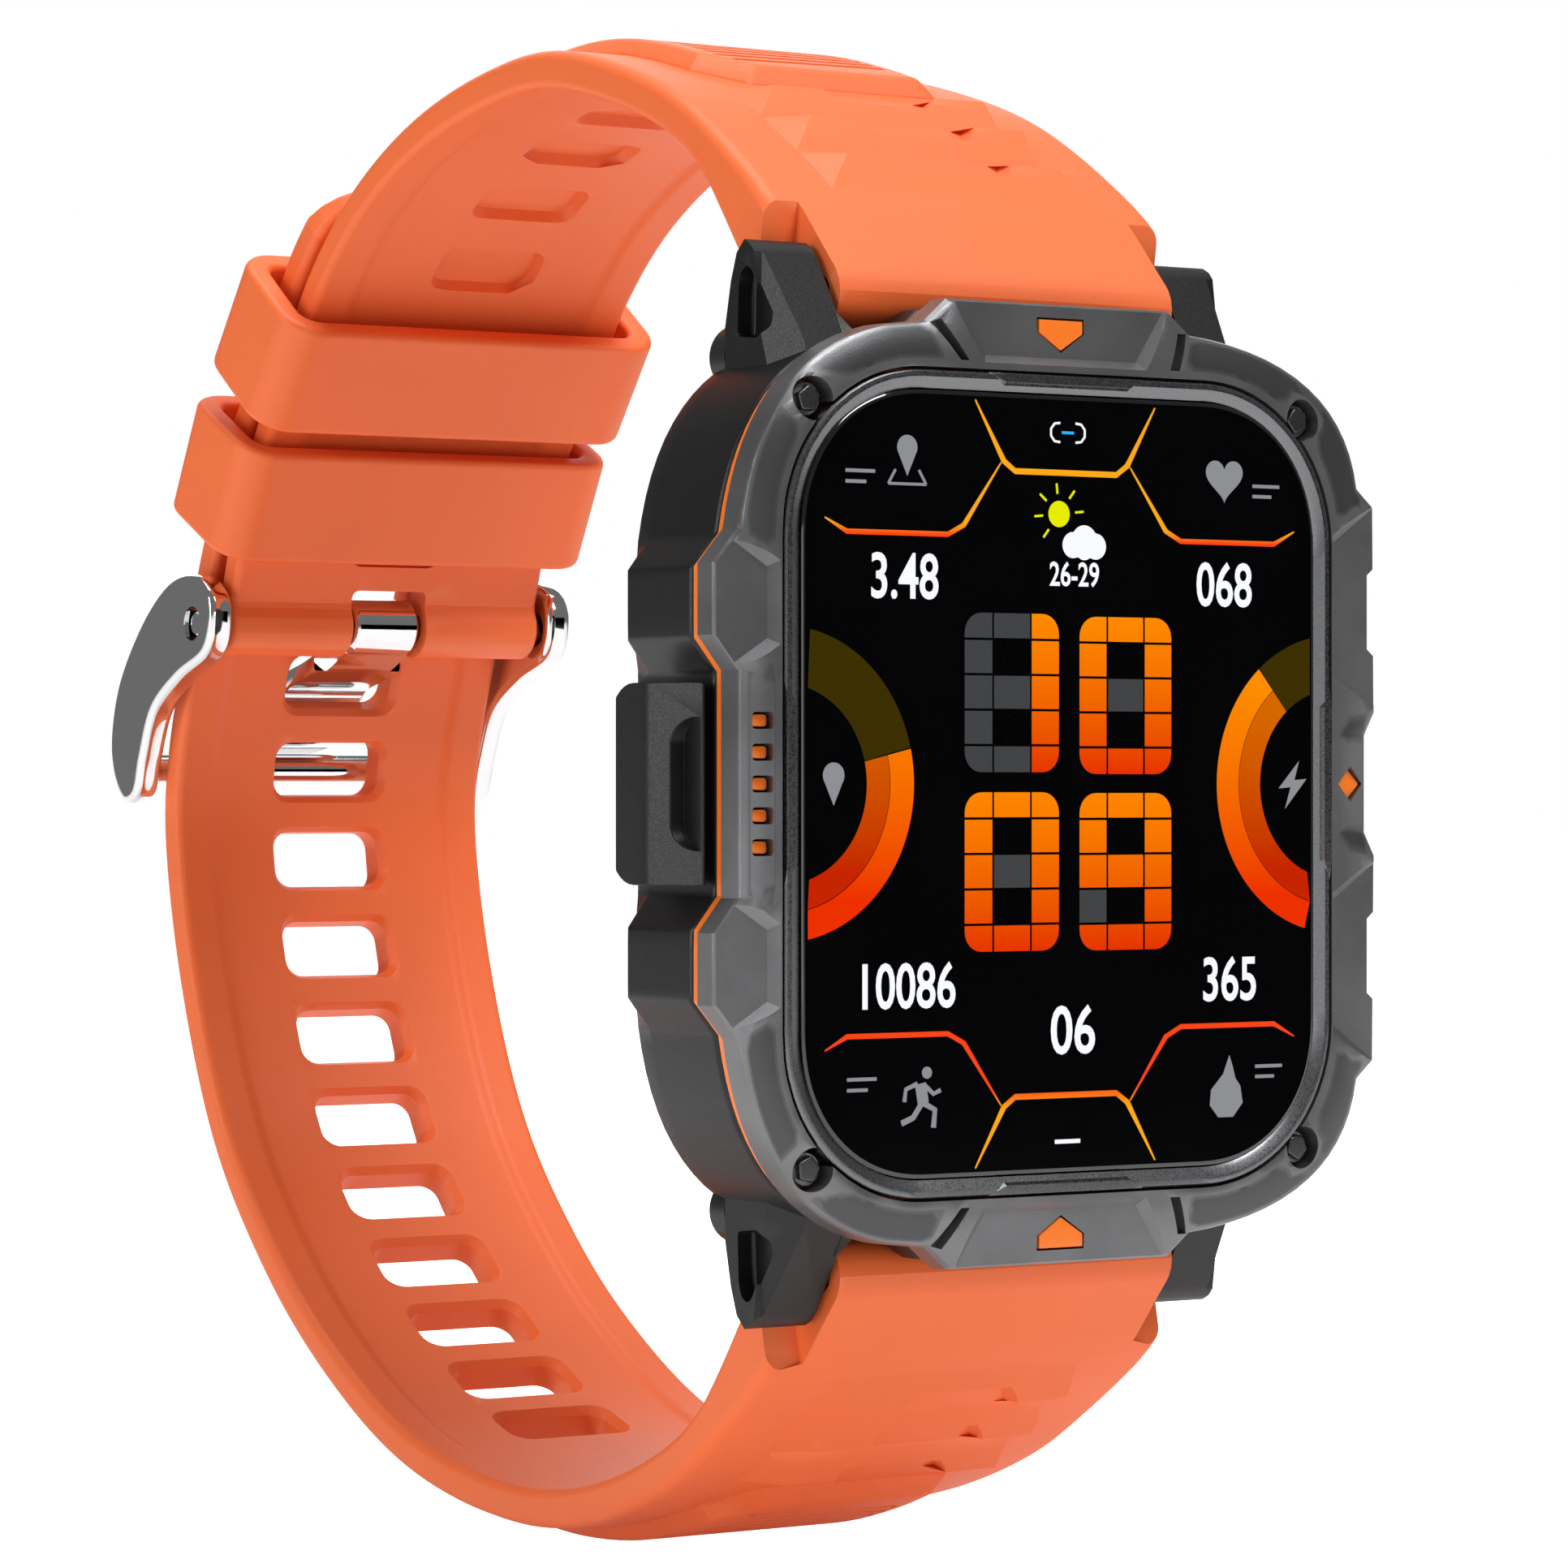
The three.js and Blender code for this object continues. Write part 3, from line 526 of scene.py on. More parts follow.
# Recessed flats in the upper half of the bezel: the floor's corners, then the wider corners above them.
FACETS = [
    [(-20.2, 0.66, 12.0), (-20.2, 0.66, 8.05), (-25.0, 0.78, 5.0), (-25.0, 0.78, 15.0),
     (-19.0, -0.6, 12.75), (-19.0, -0.6, 7.3), (-25.0, -0.6, 3.6), (-25.0, -0.6, 16.4)],
    [(20.15, 0.66, 14.3), (20.15, 0.66, 6.8), (25.0, 0.78, 3.6), (25.0, 0.78, 17.6),
     (18.9, -0.6, 15.1), (18.9, -0.6, 6.0), (25.0, -0.6, 2.4), (25.0, -0.6, 18.8)],
    [(-5.35, 0.62, 24.3), (5.35, 0.62, 24.3), (8.4, 0.78, 28.8), (-8.4, 0.78, 28.8),
     (-6.3, -0.6, 23.2), (6.3, -0.6, 23.2), (10.0, -0.6, 28.8), (-10.0, -0.6, 28.8)],
]


def pentagon(side, grow):
    half = 1.55 + grow
    points = [(-half, 26.5 + grow), (-half, 25.75), (0, 24.75 - grow), (half, 25.75), (half, 26.5 + grow)]
    return [(x, z * side) for x, z in points]


def inlay_outlines(grow):
    shapes = [pentagon(1, grow), pentagon(-1, grow)]
    d = 0.95 + grow
    shapes.append([(21.1 - d, 0), (21.1, d), (21.1 + d, 0), (21.1, -d)])
    for i in range(-2, 3):
        shapes.append(rounded_rect(0.5 + grow, 0.35 + grow, 0.2, -20.75, i * 1.75, count=4))
    return shapes


def slot_outlines():
    shapes = []
    for side in (1, -1):
        shapes.append([(x, z * side) for x, z in ((-8.5, 26.2), (-9.2, 26.0), (-7.4, 23.9), (-6.8, 23.9))])
        shapes.append([(x, z * side) for x, z in ((8.3, 26.1), (9.0, 26.1), (8.2, 23.9), (7.5, 23.9))])
    return shapes


def dip(from_x, z, half):
    """Cutter for a shallow dip in the edge beside the crown or the button."""
    wide = half + 2.6
    return prism("dip", [(from_x, z - half), (26, z - wide), (26, z + wide), (from_x, z + half)], -1, 5)


def bezel():
    rim = rounded_rect(RIM[0] + 0.15, RIM[1] + 0.15, RIM[2] + 0.15, count=20)
    dome = [(t, BEZEL_FRONT + (BEZEL_EDGE - BEZEL_FRONT) * t ** 2.2)
            for t in (0.0, 0.2, 0.4, 0.6, 0.75, 0.88, 0.95)]
    section = [(0.0, BEZEL_BACK), (0.0, 1.2)] + dome + [(1.0, BEZEL_EDGE + 0.25), (1.0, BEZEL_BACK)]
    obj = radial_shell("bezel_front", rim, case_outline(), section)
    cutters = [hull("facet", mirrored(points, side)) for points in FACETS for side in (1, -1)]
    cutters += [prism("slot", shape, -1, 1.25) for shape in slot_outlines()]
    cutters += corner_rods("screw_recess", FRONT_SCREWS, 1.25, 40, -1, 4)
    cutters += [dip(22.75, CROWN_Z, 2.2), dip(22.75, BUTTON_Z, 2.2)]
    cut(obj, merge("bezel_cuts", cutters))
    cut(obj, merge("bezel_windows", [prism("window", shape, -1, 4) for shape in inlay_outlines(0.12)]))
    bevel(tidy(obj, 0.05), 0.13, 3, 24)
    return to_frame(obj, "case", GUNMETAL, ["bezel"])


def trim_rim():
    inner = rounded_rect(18.3, 22.24, 8.3, count=20)
    section = [(0.0, 1.7), (0.0, 0.32), (0.25, 0.2), (0.62, 0.02), (0.9, 0.03), (1.0, 0.16), (1.0, 1.7)]
    obj = radial_shell("glass_rim", inner, rounded_rect(19.38, 23.28, 9.28, count=20), section)
    accents = []
    for side in (1, -1):
        accents.append(hull("rim_flat", [(x * end, y, z * side) for x, y, z in (
            (5.5, 0.12, 23.28), (4.4, 0.3, 22.5), (4.4, -0.13, 22.75), (4.4, -0.13, 23.25), (5.5, 1.0, 23.2))
            for end in (-1, 1)]))
        accents.append(hull("rim_flat", [(x * side, y, z * end) for x, y, z in (
            (19.38, 0.12, 5.6), (18.6, 0.3, 4.5), (18.8, -0.13, 4.5), (19.35, -0.13, 4.5), (19.3, 1.0, 5.6))
            for end in (1, -1)]))
    union(obj, merge("rim_flats", accents))
    bevel(tidy(obj, 0.05), 0.04, 2, 24)
    return to_frame(obj, "case", RIM_METAL, ["display_trim_ring"])


def accent_ring():
    inner = glass_outline(-0.8)
    obj = radial_shell("orange_ring", inner, case_outline(0.34), [(0, 3.3), (0, 2.5), (1, 2.5), (1, 3.3)])
    cutters = corner_rods("hole", FRONT_SCREWS, 0.85, 24, 0, 5)
    cutters.append(box("crown_gap", 21.2, 26, 0, 5, CROWN_Z - 2.6, CROWN_Z + 2.6))
    cut(obj, merge("ring_cuts", cutters))
    parts = [bevel(tidy(obj), 0.15, 3)]
    parts += [bevel(prism("inlay", shape, 0.62, 2.6), 0.08, 2) for shape in inlay_outlines(0.0)]
    return to_frame(merge("orange_ring_and_inlays", parts), "case", ORANGE, ["accent_ring"])


def bezel_screws():
    for index, (x, z) in enumerate(CORNERS):
        place = Matrix.Translation((x * SCREW_X, 0, z * SCREW_Z)) @ ALONG_Y
        head = lathe("screw", [(0, 2.2), (1.0, 2.2), (1.0, 1.15), (0.9, 1.02), (0, 1.02)], 40, place)
        turn = math.pi / 2 + 0.35 * index
        star = prism("star", circle(0.82, 5, x * SCREW_X, z * SCREW_Z, turn), 0.62, 1.3)
        shank = lathe("shank", [(0, 6.4), (0.5, 6.4), (0.6, 6.2), (0.6, 2.0), (0, 2.0)], 20, place)
        obj = merge(f"front_screw_{index + 1}", [head, bevel(star, 0.14, 3), shank])
        to_frame(obj, "case", SCREW_METAL, [f"bezel_screw_{index + 1}"])


# ------------------------------------------------------------------ middle case and guard
LUG_INNER, LUG_OUTER = 12.3, 16.5
BAR_Y, BAR_Z, BAR_BORE = 7.7, 28.0, 1.05


def on_side(name, outline, x0, x1):
    """side_prism with its two X positions in either order."""
    return side_prism(name, outline, *sorted((x0, x1)))


def lug(side_x, side_z):
    """One of the four lugs, as an outline of (y, z) points with a sloping front and a pocket in its side."""
    outline = [(3.5, 22.6), (3.9, 24.4), (7.3, 29.9), (7.9, 30.6), (8.5, 30.9), (9.3, 30.2), (9.9, 28.6),
               (10.5, 26.0), (10.5, 22.6)]
    pocket = [(9.2, 25.4), (9.1, 28.2), (8.9, 29.0), (8.3, 29.4), (7.8, 29.2), (6.3, 26.6), (6.3, 25.8),
              (7.2, 25.2)]
    body = on_side("lug", [(y, z * side_z) for y, z in outline], side_x * LUG_INNER, side_x * LUG_OUTER)
    slope = hull("slope", [(side_x * x, y, z * side_z) for x, y, z in (
        (15.2, 3.0, 22), (15.2, 3.0, 32), (17.2, 3.0, 22), (17.2, 3.0, 32), (16.9, 6.4, 22), (16.9, 6.4, 33),
        (17.2, 6.4, 22), (17.2, 6.4, 33), (15.6, 8.0, 33.5), (17.2, 8.0, 33.5))])
    cut(body, slope)
    web = hull("web", [(side_x * x, y, z * side_z) for x, y, z in (
        (11.0, 3.5, 22.8), (11.0, 3.75, 24.6), (11.0, 5.0, 22.8), (12.5, 3.5, 22.8), (12.5, 5.3, 26.8),
        (12.5, 3.9, 24.4), (12.5, 6.0, 24.0))])
    union(body, web)
    bevel(tidy(body), 0.35, 3, 28)
    face = side_x * LUG_OUTER
    dent = on_side("pocket", [(y, z * side_z) for y, z in pocket], face - side_x * 1.1, face + side_x)
    return bevel(tidy(cut(body, bevel(dent, 0.25, 3))), 0.12, 2, 50)


def rod_on_x(radius, y, z, x0, x1, count=40):
    place = Matrix.Translation((0, y, z)) @ ALONG_X
    return lathe("rod", [(0, x0), (radius, x0), (radius, x1), (0, x1)], count, place)


def strap_recess(side):
    """Cutter that makes room for the root of a strap between two lugs."""
    rod = rod_on_x(2.6, BAR_Y, side * BAR_Z, -LUG_INNER, LUG_INNER, 48)
    z0, z1 = sorted((side * 25.6, side * 40))
    return union(rod, box("gap", -LUG_INNER, LUG_INNER, BAR_Y, 20, z0, z1))


def back_outline(inset, half_x, half_z):
    """The case outline without its side bumps, for the back of the case and its cover."""
    clipped = resample(case_outline(inset), ANGLES)
    return [(max(-half_x, min(half_x, x)), max(-half_z, min(half_z, z))) for x, z in clipped]


def middle_case():
    cavity = rounded_rect(18.9, 22.4, 8.0, count=12)
    outer = resample(case_outline(0.35), ANGLES)
    rear, seat = back_outline(0.55, 21.5, 27.0), back_outline(1.35, 20.75, 25.7)
    front = resample(case_outline(0.7), ANGLES)
    inside = resample(cavity, ANGLES)
    loops = []
    for (fx, fz), (ox, oz), (rx, rz), (sx, sz), (ix, iz) in zip(front, outer, rear, seat, inside):
        loops.append([(ix, 10.5, iz), (ix, 3.4, iz), (fx, 3.4, fz), (ox, 3.75, oz), (ox, 10.2, oz),
                      (rx, 12.0, rz), (sx, 12.0, sz), (sx, 10.55, sz)])
    obj = new_object("case_body", *rings(loops, ring_closed=True))
    bevel(obj, 0.2, 2, 24)
    union(obj, merge("lugs", [lug(x, z) for x, z in CORNERS]))
    button_pocket = [(BUTTON_Y + a, BUTTON_Z + b) for a, b in rounded_rect(2.2, 3.2, 1.4, count=8)]
    cutters = [strap_recess(1), strap_recess(-1), rod_on_x(3.8, CROWN_Y, CROWN_Z, 21.1, 26, 48),
               *corner_rods("ear_gap", BACK_SCREWS, 2.1, 40, 10.6, 13),
               on_side("button_pocket", button_pocket, 21.3, 26),
               box("guard_seat", -26, -22.15, 3, 20, -6.1, 6.1)]
    cut(obj, merge("case_cuts", cutters))
    small = [rod_on_x(1.1, CROWN_Y, CROWN_Z, 15, 22), rod_on_x(1.1, BUTTON_Y, BUTTON_Z, 15, 22),
             rod_on_x(1.0, BAR_Y, BAR_Z, -14.6, 14.6), rod_on_x(1.0, BAR_Y, -BAR_Z, -14.6, 14.6)]
    small += corner_rods("bore", FRONT_SCREWS, 0.85, 24, 0, 6.8)
    small += corner_rods("bore", BACK_SCREWS, 0.85, 24, 7.6, 20)
    cut(obj, merge("case_bores", small))
    return to_frame(obj, "case", BLACK, ["middle_case"])


def side_guard():
    profile = [(-22.4, 3.5), (-22.55, 3.5), (-24.15, 6.5), (-24.3, 7.1), (-24.3, 9.8), (-23.9, 10.35),
               (-22.4, 10.4)]
    block = new_object("guard", *rings([[(x, y, z) for x, y in profile] for z in (-5.7, 5.7)]))
    keep = on_side("guard_shape", rounded_rect(4.5, 5.65, 2.4, 5.95, 0.0, count=8), -26, -22)
    boolean(block, [keep], "INTERSECT")
    bevel(tidy(block, 0.05), 0.28, 4, 26)
    slot = on_side("guard_slot", rounded_rect(3.6, 3.7, 1.5, 1.75, 0.0, count=8), -26, -22.6)
    cut(block, slot)
    return to_frame(bevel(tidy(block, 0.05), 0.1, 2, 50), "case", BLACK, ["side_guard"])


def back_cover():
    loops = [[(x, y, z) for x, z in back_outline(1.5 + inset, 20.6 - inset, 25.5 - inset)] for inset, y in (
        (0, 10.8), (0, 11.9), (0.12, 12.2), (0.4, 12.45), (0.75, 12.6))]
    obj = new_object("rear_cover", *rings(loops))
    union(obj, merge("ears", corner_rods("ear", BACK_SCREWS, 1.95, 40, 10.8, 12.35)))
    tools = [prism("window_hole", circle(10.3, 96), 9, 20)]
    tools += corner_rods("screw_hole", BACK_SCREWS, 0.85, 24, 9, 20)
    tools += [prism("pin_hole", circle(1.4, 32, x, -17.0), 9, 20) for x in (-2.6, 2.6)]
    cut(obj, merge("cover_holes", tools))
    sinks = corner_rods("screw_sink", BACK_SCREWS, 1.3, 32, 11.7, 20)
    sinks.append(radial_shell("gasket_groove", rounded_rect(19.3, 22.3, 7.9), rounded_rect(20.05, 23.1, 8.7),
                              [(0, 10), (0, 11.7), (1, 11.7), (1, 10)]))
    cut(obj, merge("cover_sinks", sinks))
    cut(obj, radial_shell("trim_line", rounded_rect(17.8, 23.6, 6.5), rounded_rect(18.2, 24.0, 6.9),
                          [(0, 12.45), (0, 13), (1, 13), (1, 12.45)]))
    return to_frame(bevel(tidy(obj, 0.05), 0.08, 2, 40), "case", BLACK, ["back_cover"])


def sensor_window():
    profile = [(0, 11.3), (10.0, 11.3), (10.0, 12.7), (9.9, 12.9)]
    profile += [(9.9 - 2.3 * i / 10, 12.9 + 0.5 * math.sin(math.pi / 2 * i / 10)) for i in range(1, 11)]
    dome = lathe("wrist_window", profile + [(0, 13.4)], 96, ALONG_Y)
    return to_frame(dome, "case", SENSOR, ["sensor_window"], smooth=40)


# ------------------------------------------------------------------ paths of the strap
UPPER_ROUTE = [
    (BAR_Y, BAR_Z), (13.2, 33.8), (18.4, 38.0), (25.6, 41.2), (38.5, 43.9), (51.5, 42.1),
    (60.7, 38.0), (66.5, 33.1), (70.0, 28.4), (73.5, 23.7), (76.3, 19.0), (79.2, 10.8),
]
LOWER_ROUTE = [
    (BAR_Y, -BAR_Z), (13.0, -34.0), (20.1, -39.5), (31.9, -43.7), (43.3, -44.6), (55.5, -42.4),
    (66.2, -37.0), (73.5, -31.2), (79.8, -23.8), (84.6, -12.9), (86.7, -2.9), (86.2, 2.0), (84.5, 7.5),
    (81.6, 15.0), (78.3, 21.8), (72.1, 30.4), (67.6, 36.3), (64.4, 38.9),
]


class Path:
    """A smooth curve through (y, z) points, measured by its length; away is the side that faces outwards."""

    def __init__(self, route, side):
        points = [Vector(p) for p in route]
        ends = [points[0] * 2 - points[1]] + points + [points[-1] * 2 - points[-2]]
        self.side, self.points, self.lengths = side, [points[0]], [0.0]
        for p0, p1, p2, p3 in zip(ends, ends[1:], ends[2:], ends[3:]):
            d0, d1, d2 = [max((b - a).length ** 0.5, 1e-4) for a, b in ((p0, p1), (p1, p2), (p2, p3))]
            t1 = ((p1 - p0) / d0 - (p2 - p0) / (d0 + d1) + (p2 - p1) / d1) * d1
            t2 = ((p2 - p1) / d1 - (p3 - p1) / (d1 + d2) + (p3 - p2) / d2) * d1
            for k in range(1, 41):
                u = k / 40
                here = (p1 * (2 * u ** 3 - 3 * u ** 2 + 1) + t1 * (u ** 3 - 2 * u ** 2 + u)
                        + p2 * (3 * u ** 2 - 2 * u ** 3) + t2 * (u ** 3 - u ** 2))
                self.lengths.append(self.lengths[-1] + (here - self.points[-1]).length)
                self.points.append(here)
        self.total = self.lengths[-1]

    def at(self, length):
        low, high = 0, len(self.lengths) - 2
        while low < high:
            half = (low + high + 1) // 2
            low, high = (half, high) if self.lengths[half] <= length else (low, half - 1)
        a, b = self.points[low], self.points[low + 1]
        return a + (b - a) * ((length - self.lengths[low]) / (self.lengths[low + 1] - self.lengths[low]))

    def frame(self, length, reach=0.6):
        clamped = min(max(length, 0.0), self.total)
        a, b = self.at(max(clamped - reach, 0.0)), self.at(min(clamped + reach, self.total))
        tangent = (b - a).normalized()
        here = self.at(clamped) + tangent * (length - clamped)
        return here, tangent, Vector((-tangent.y, tangent.x)) * self.side

    def near(self, y, z):
        target = Vector((y, z))
        return min(zip(self.points, self.lengths), key=lambda pair: (pair[0] - target).length)[1]

    def place(self, x, height, length):
        here, _, away = self.frame(length)
        y, z = here + away * height
        return Vector((x, y, z))


UPPER, LOWER = Path(UPPER_ROUTE, 1), Path(LOWER_ROUTE, -1)


# ------------------------------------------------------------------ strap
# A strap half is made flat, as X across, Y outwards from its middle layer and Z along it, and then bent.
BARREL_R = 2.1
THICK, ROOT = 2.4, 4.2
SHOULDER_HALF, WAIST_HALF, BARREL_HALF = 14.2, 12.0, 11.9
SHOULDER_Y, WAIST_Y = 10.9, 44.0
BEND_STEP = 1.25
CROSS_HALF = 15.5
SCALE_RISE, PAD_RISE, PAD_HALF, RIB_PITCH, RIB_SKEW = 0.9, 1.1, 8.2, 1.25, 1.1
PIN_Y, PIN_Z, PIN_R = 79.2, 10.8, 0.9
HOLE_HALF, HOLE_HEIGHT, HOLE_PITCH, HOLE_FROM_TIP = 4.1, 1.95, 6.4, 38.1


def ease(value, low, high):
    t = min(max((value - low) / (high - low), 0.0), 1.0)
    return t * t * (3 - 2 * t)


def strap_section(half, thick, recess):
    """Cross-section as (x, y): rounded edges, and a wide shallow channel on the wrist side."""
    top, bottom = thick / 2, -thick / 2
    outer, inner = min(0.9, thick * 0.4), min(0.6, thick * 0.3)
    right = [(0.0, top + 0.05), (half * 0.5, top + 0.03)]
    for i in range(9):
        a = math.pi / 2 * (1 - i / 8)
        right.append((half - outer + outer * math.cos(a), top - outer + outer * math.sin(a)))
    for i in range(8):
        a = -math.pi / 2 * i / 7
        right.append((half - inner + inner * math.cos(a), bottom + inner + inner * math.sin(a)))
    border = half - 2.3
    right += [(border - step, bottom + recess * share) for step, share in
              ((0.0, 0.0), (0.3, 0.15), (0.8, 0.85), (1.1, 1.0), (border, 1.0))]
    left = [(-x, y) for x, y in reversed(right[1:-1])]
    return right + left


def strap_half_width(y):
    if y < SHOULDER_Y + 0.5:
        return SHOULDER_HALF
    t = min(1.0, (y - SHOULDER_Y - 0.5) / (WAIST_Y - SHOULDER_Y - 0.5))
    return SHOULDER_HALF + (WAIST_HALF - SHOULDER_HALF) * t


def root_thickness(s):
    return ROOT + (THICK - ROOT) * ease(s, 4, 15)


def flat_strap(name, path, round_end, recess_to):
    total = path.total
    stations = [-BARREL_R * math.cos(math.radians(a)) for a in (6, 18, 32, 48, 65, 80)]
    stations += [i * 1.5 for i in range(int((total - 4) / 1.5))]
    if round_end:
        turns = (-88, -70, -50, -30, -12, 0, 15, 32, 48, 64, 78, 85)
        stations += [total + BARREL_R * math.sin(math.radians(a)) for a in turns]
    else:
        stations += [total - 3.6, total - 2.4, total - 1.4, total - 0.7, total - 0.2, total]
    loops = []
    for s in stations:
        thick = root_thickness(s)
        if s < 0:
            thick = max(0.3, 2 * math.sqrt(max(BARREL_R ** 2 - s * s, 0)))
        half = strap_half_width(path.at(min(max(s, 0), total)).x)
        if round_end and abs(s - total) < BARREL_R:
            thick = max(0.35, 2 * math.sqrt(BARREL_R ** 2 - (s - total) ** 2), THICK if s < total else 0)
        if not round_end:
            thick = min(thick, 0.9 + (total - s) * 0.4)
            rest = max(0.0, 5.0 - (total - s)) / 5.0
            half -= 4.2 * (1 - math.sqrt(max(0.0, 1 - rest * rest)))
        recess = 0.28 * ease(s, 12, 17) * (1 - ease(s, recess_to - 4, recess_to))
        loops.append([(x, y, s) for x, y in strap_section(half, thick, recess)])
    return new_object(name, *rings(loops))


def shingles(first, pitch):
    """Three raised scales across the strap, each with a notch in its trailing edge."""
    solids, notches = [], []
    top = THICK / 2
    for i in range(3):
        s0, s1 = first + i * pitch, first + (i + 1) * pitch
        lift0, lift1 = root_thickness(s0) / 2, root_thickness(s1) / 2
        high = max(lift1, top) + SCALE_RISE
        solids.append(hull("scale", [
            (-9.0, lift0 - 0.05, s0), (8.6, lift0 - 0.05, s0), (-9.0, lift1 - 0.05, s1),
            (9.9, lift1 - 0.05, s1), (-6.3, high, s1 - 1.0), (9.2, high, s1 - 1.0),
            (-8.8, lift0 - 1.0, s0 + 0.2), (8.6, lift0 - 1.0, s0 + 0.2), (-8.8, lift1 - 1.0, s1),
            (9.8, lift1 - 1.0, s1)]))
        floor, sky = lift1 + 0.1, high + 0.5
        notches.append(hull("scale_notch", [
            (-2.2, floor, s1 - 1.7), (4.3, floor, s1 - 1.7), (-2.2, floor, s1 + 0.1), (5.6, floor, s1 + 0.1),
            (-3.0, sky, s1 - 2.9), (4.9, sky, s1 - 2.9), (-3.0, sky, s1 + 0.1), (6.4, sky, s1 + 0.1)]))
    return solids, notches


def ribbed_pad(start, end):
    """Raised pad with slanted ribs sunk in its top; returns the pad and its cutters."""
    top, half = THICK / 2, PAD_HALF
    base = [(-half + 2.2, start), (half, start), (half, end - 2.5), (half - 2.5, end), (-half + 2.5, end),
            (-half, end - 2.5), (-half, start + 3.2)]
    middle, reach = (start + end) / 2, (end - start) / 2
    low = [(x, top - 0.8, s) for x, s in base]
    foot = [(x, top, s) for x, s in base]
    crest = [(x * (1 - PAD_RISE / half), top + PAD_RISE, middle + (s - middle) * (1 - PAD_RISE / reach))
             for x, s in base]
    pad = bevel(new_object("pad", *rings([low, foot, crest])), 0.3, 3, 26)
    ribs = []
    for i in range(int((end - start - 5.5) / RIB_PITCH)):
        s = start + 2.9 + i * RIB_PITCH
        x0 = -half + 2.1 + max(0.0, 2.4 - (s - start - 1.0))
        ribs.append(hull("rib", [
            (x, top + lift, s + shift + math.copysign(RIB_SKEW * 0.5, x)) for x in (x0, half - 2.0)
            for lift, shift in ((0.55, 0.0), (0.55, 0.38), (1.5, -0.25), (1.5, 0.72))]))
    return pad, ribs


def raise_relief(body, first, pitch, start, end):
    """Adds the scales and the ribbed pad to a flat strap half."""
    scales, notches = shingles(first, pitch)
    pad, ribs = ribbed_pad(start, end)
    union(body, merge("relief", scales[:1] + [pad]))
    union(body, scales[1])
    union(body, scales[2])
    cut(body, merge("notches", notches))
    cut(body, merge("ribs", ribs))


def flat_cut_shoulders():
    """Cutters that narrow the root of a strap to pass between the lugs, nearly square to the strap."""
    tools = []
    for side in (1, -1):
        points = []
        for height, s in ((3.2, 6.3), (-3.2, 1.4)):
            points += [(side * x, height, end) for x in (BARREL_HALF, 17) for end in (s, -4)]
        tools.append(hull("shoulder_gap", points))
    return tools


def bend(obj, path):
    """Bends a flat strap half to its path, after slicing it finely enough to follow the curve."""
    slices = [((0, 0, i * BEND_STEP), (0, 0, 1)) for i in range(int(path.total / BEND_STEP) + 2)]
    slices += [((i * 2.3, 0, 0), (1, 0, 0)) for i in range(-5, 6)]
    with editing(obj.data) as work:
        for point, normal in slices:
            everything = work.verts[:] + work.edges[:] + work.faces[:]
            bmesh.ops.bisect_plane(work, geom=everything, dist=0.0005, plane_co=point, plane_no=normal)
        for vertex in work.verts:
            vertex.co = path.place(*vertex.co)
        bmesh.ops.triangulate(work, faces=[f for f in work.faces if len(f.verts) > 4])
        bmesh.ops.recalc_face_normals(work, faces=work.faces)
    return obj


def blind_slot(s):
    """Cutter for a pocket with sloping walls in the wrist side."""
    loops = []
    for height, grow in ((-3.0, 1.0), (-THICK / 2 + 0.28, 0.0), (-0.25, -0.35)):
        outline = rounded_rect(3.9 + grow, 1.9 + grow, 1.0 + grow * 0.4, 0.0, s, count=6)
        loops.append([(x, height, z) for x, z in outline])
    return new_object("pocket", *rings(loops))


def strap_bore(radius, s):
    return rod_on_x(radius, 0.0, s, -CROSS_HALF, CROSS_HALF)


def strap_upper():
    end = UPPER.total
    body = flat_strap("short_strap", UPPER, True, 84)
    raise_relief(body, 6.6, 4.25, 21.3, 49.0)
    tools = flat_cut_shoulders() + [strap_bore(BAR_BORE, 0.0), strap_bore(PIN_R + 0.3, end)]
    tools.append(prism("loop_gap", rounded_rect(2.9, 3.1, 0.5, 0.0, end + 0.2, count=4), -4, 4))
    cut(body, merge("strap_cuts", tools))
    cut(body, prism("tongue_gap", rounded_rect(3.9, 2.9, 0.5, 0.0, end + 0.2, count=4), 0.75, 4))
    blind = [blind_slot(64.3 - i * 7.0) for i in range(4)]
    blind.append(prism("thumb_recess", rounded_rect(3.7, 1.6, 1.2, 0.0, end - 6.2, count=6), -4, -0.7))
    cut(body, merge("blind_slots", blind))
    bevel(tidy(body, 0.05), 0.13, 2, 16)
    return to_frame(bend(body, UPPER), "strap_upper", STRAP, ["strap_upper"], smooth=22)


def flared_hole(s):
    """Cutter for an adjustment hole that widens towards the wrist."""
    loops = []
    for height, grow in ((-3.0, 1.0), (-THICK / 2, 0.62), (-0.35, 0.0), (3.0, 0.0)):
        outline = rounded_rect(HOLE_HALF + grow, HOLE_HEIGHT + grow * 0.9, 1.15 + grow * 0.5, 0.0, s, count=6)
        loops.append([(x, height, z) for x, z in outline])
    return new_object("hole", *rings(loops))


def strap_lower():
    body = flat_strap("long_strap", LOWER, False, LOWER.total + 8)
    raise_relief(body, 6.3, 4.1, 20.4, 48.0)
    cut(body, merge("strap_cuts", flat_cut_shoulders() + [strap_bore(BAR_BORE, 0.0)]))
    tongue = LOWER.total - HOLE_FROM_TIP
    cut(body, merge("holes", [flared_hole(tongue + i * HOLE_PITCH) for i in range(-10, 5)]))
    bevel(tidy(body, 0.05), 0.13, 2, 16)
    return to_frame(bend(body, LOWER), "strap_lower", STRAP, ["strap_lower"], smooth=22)


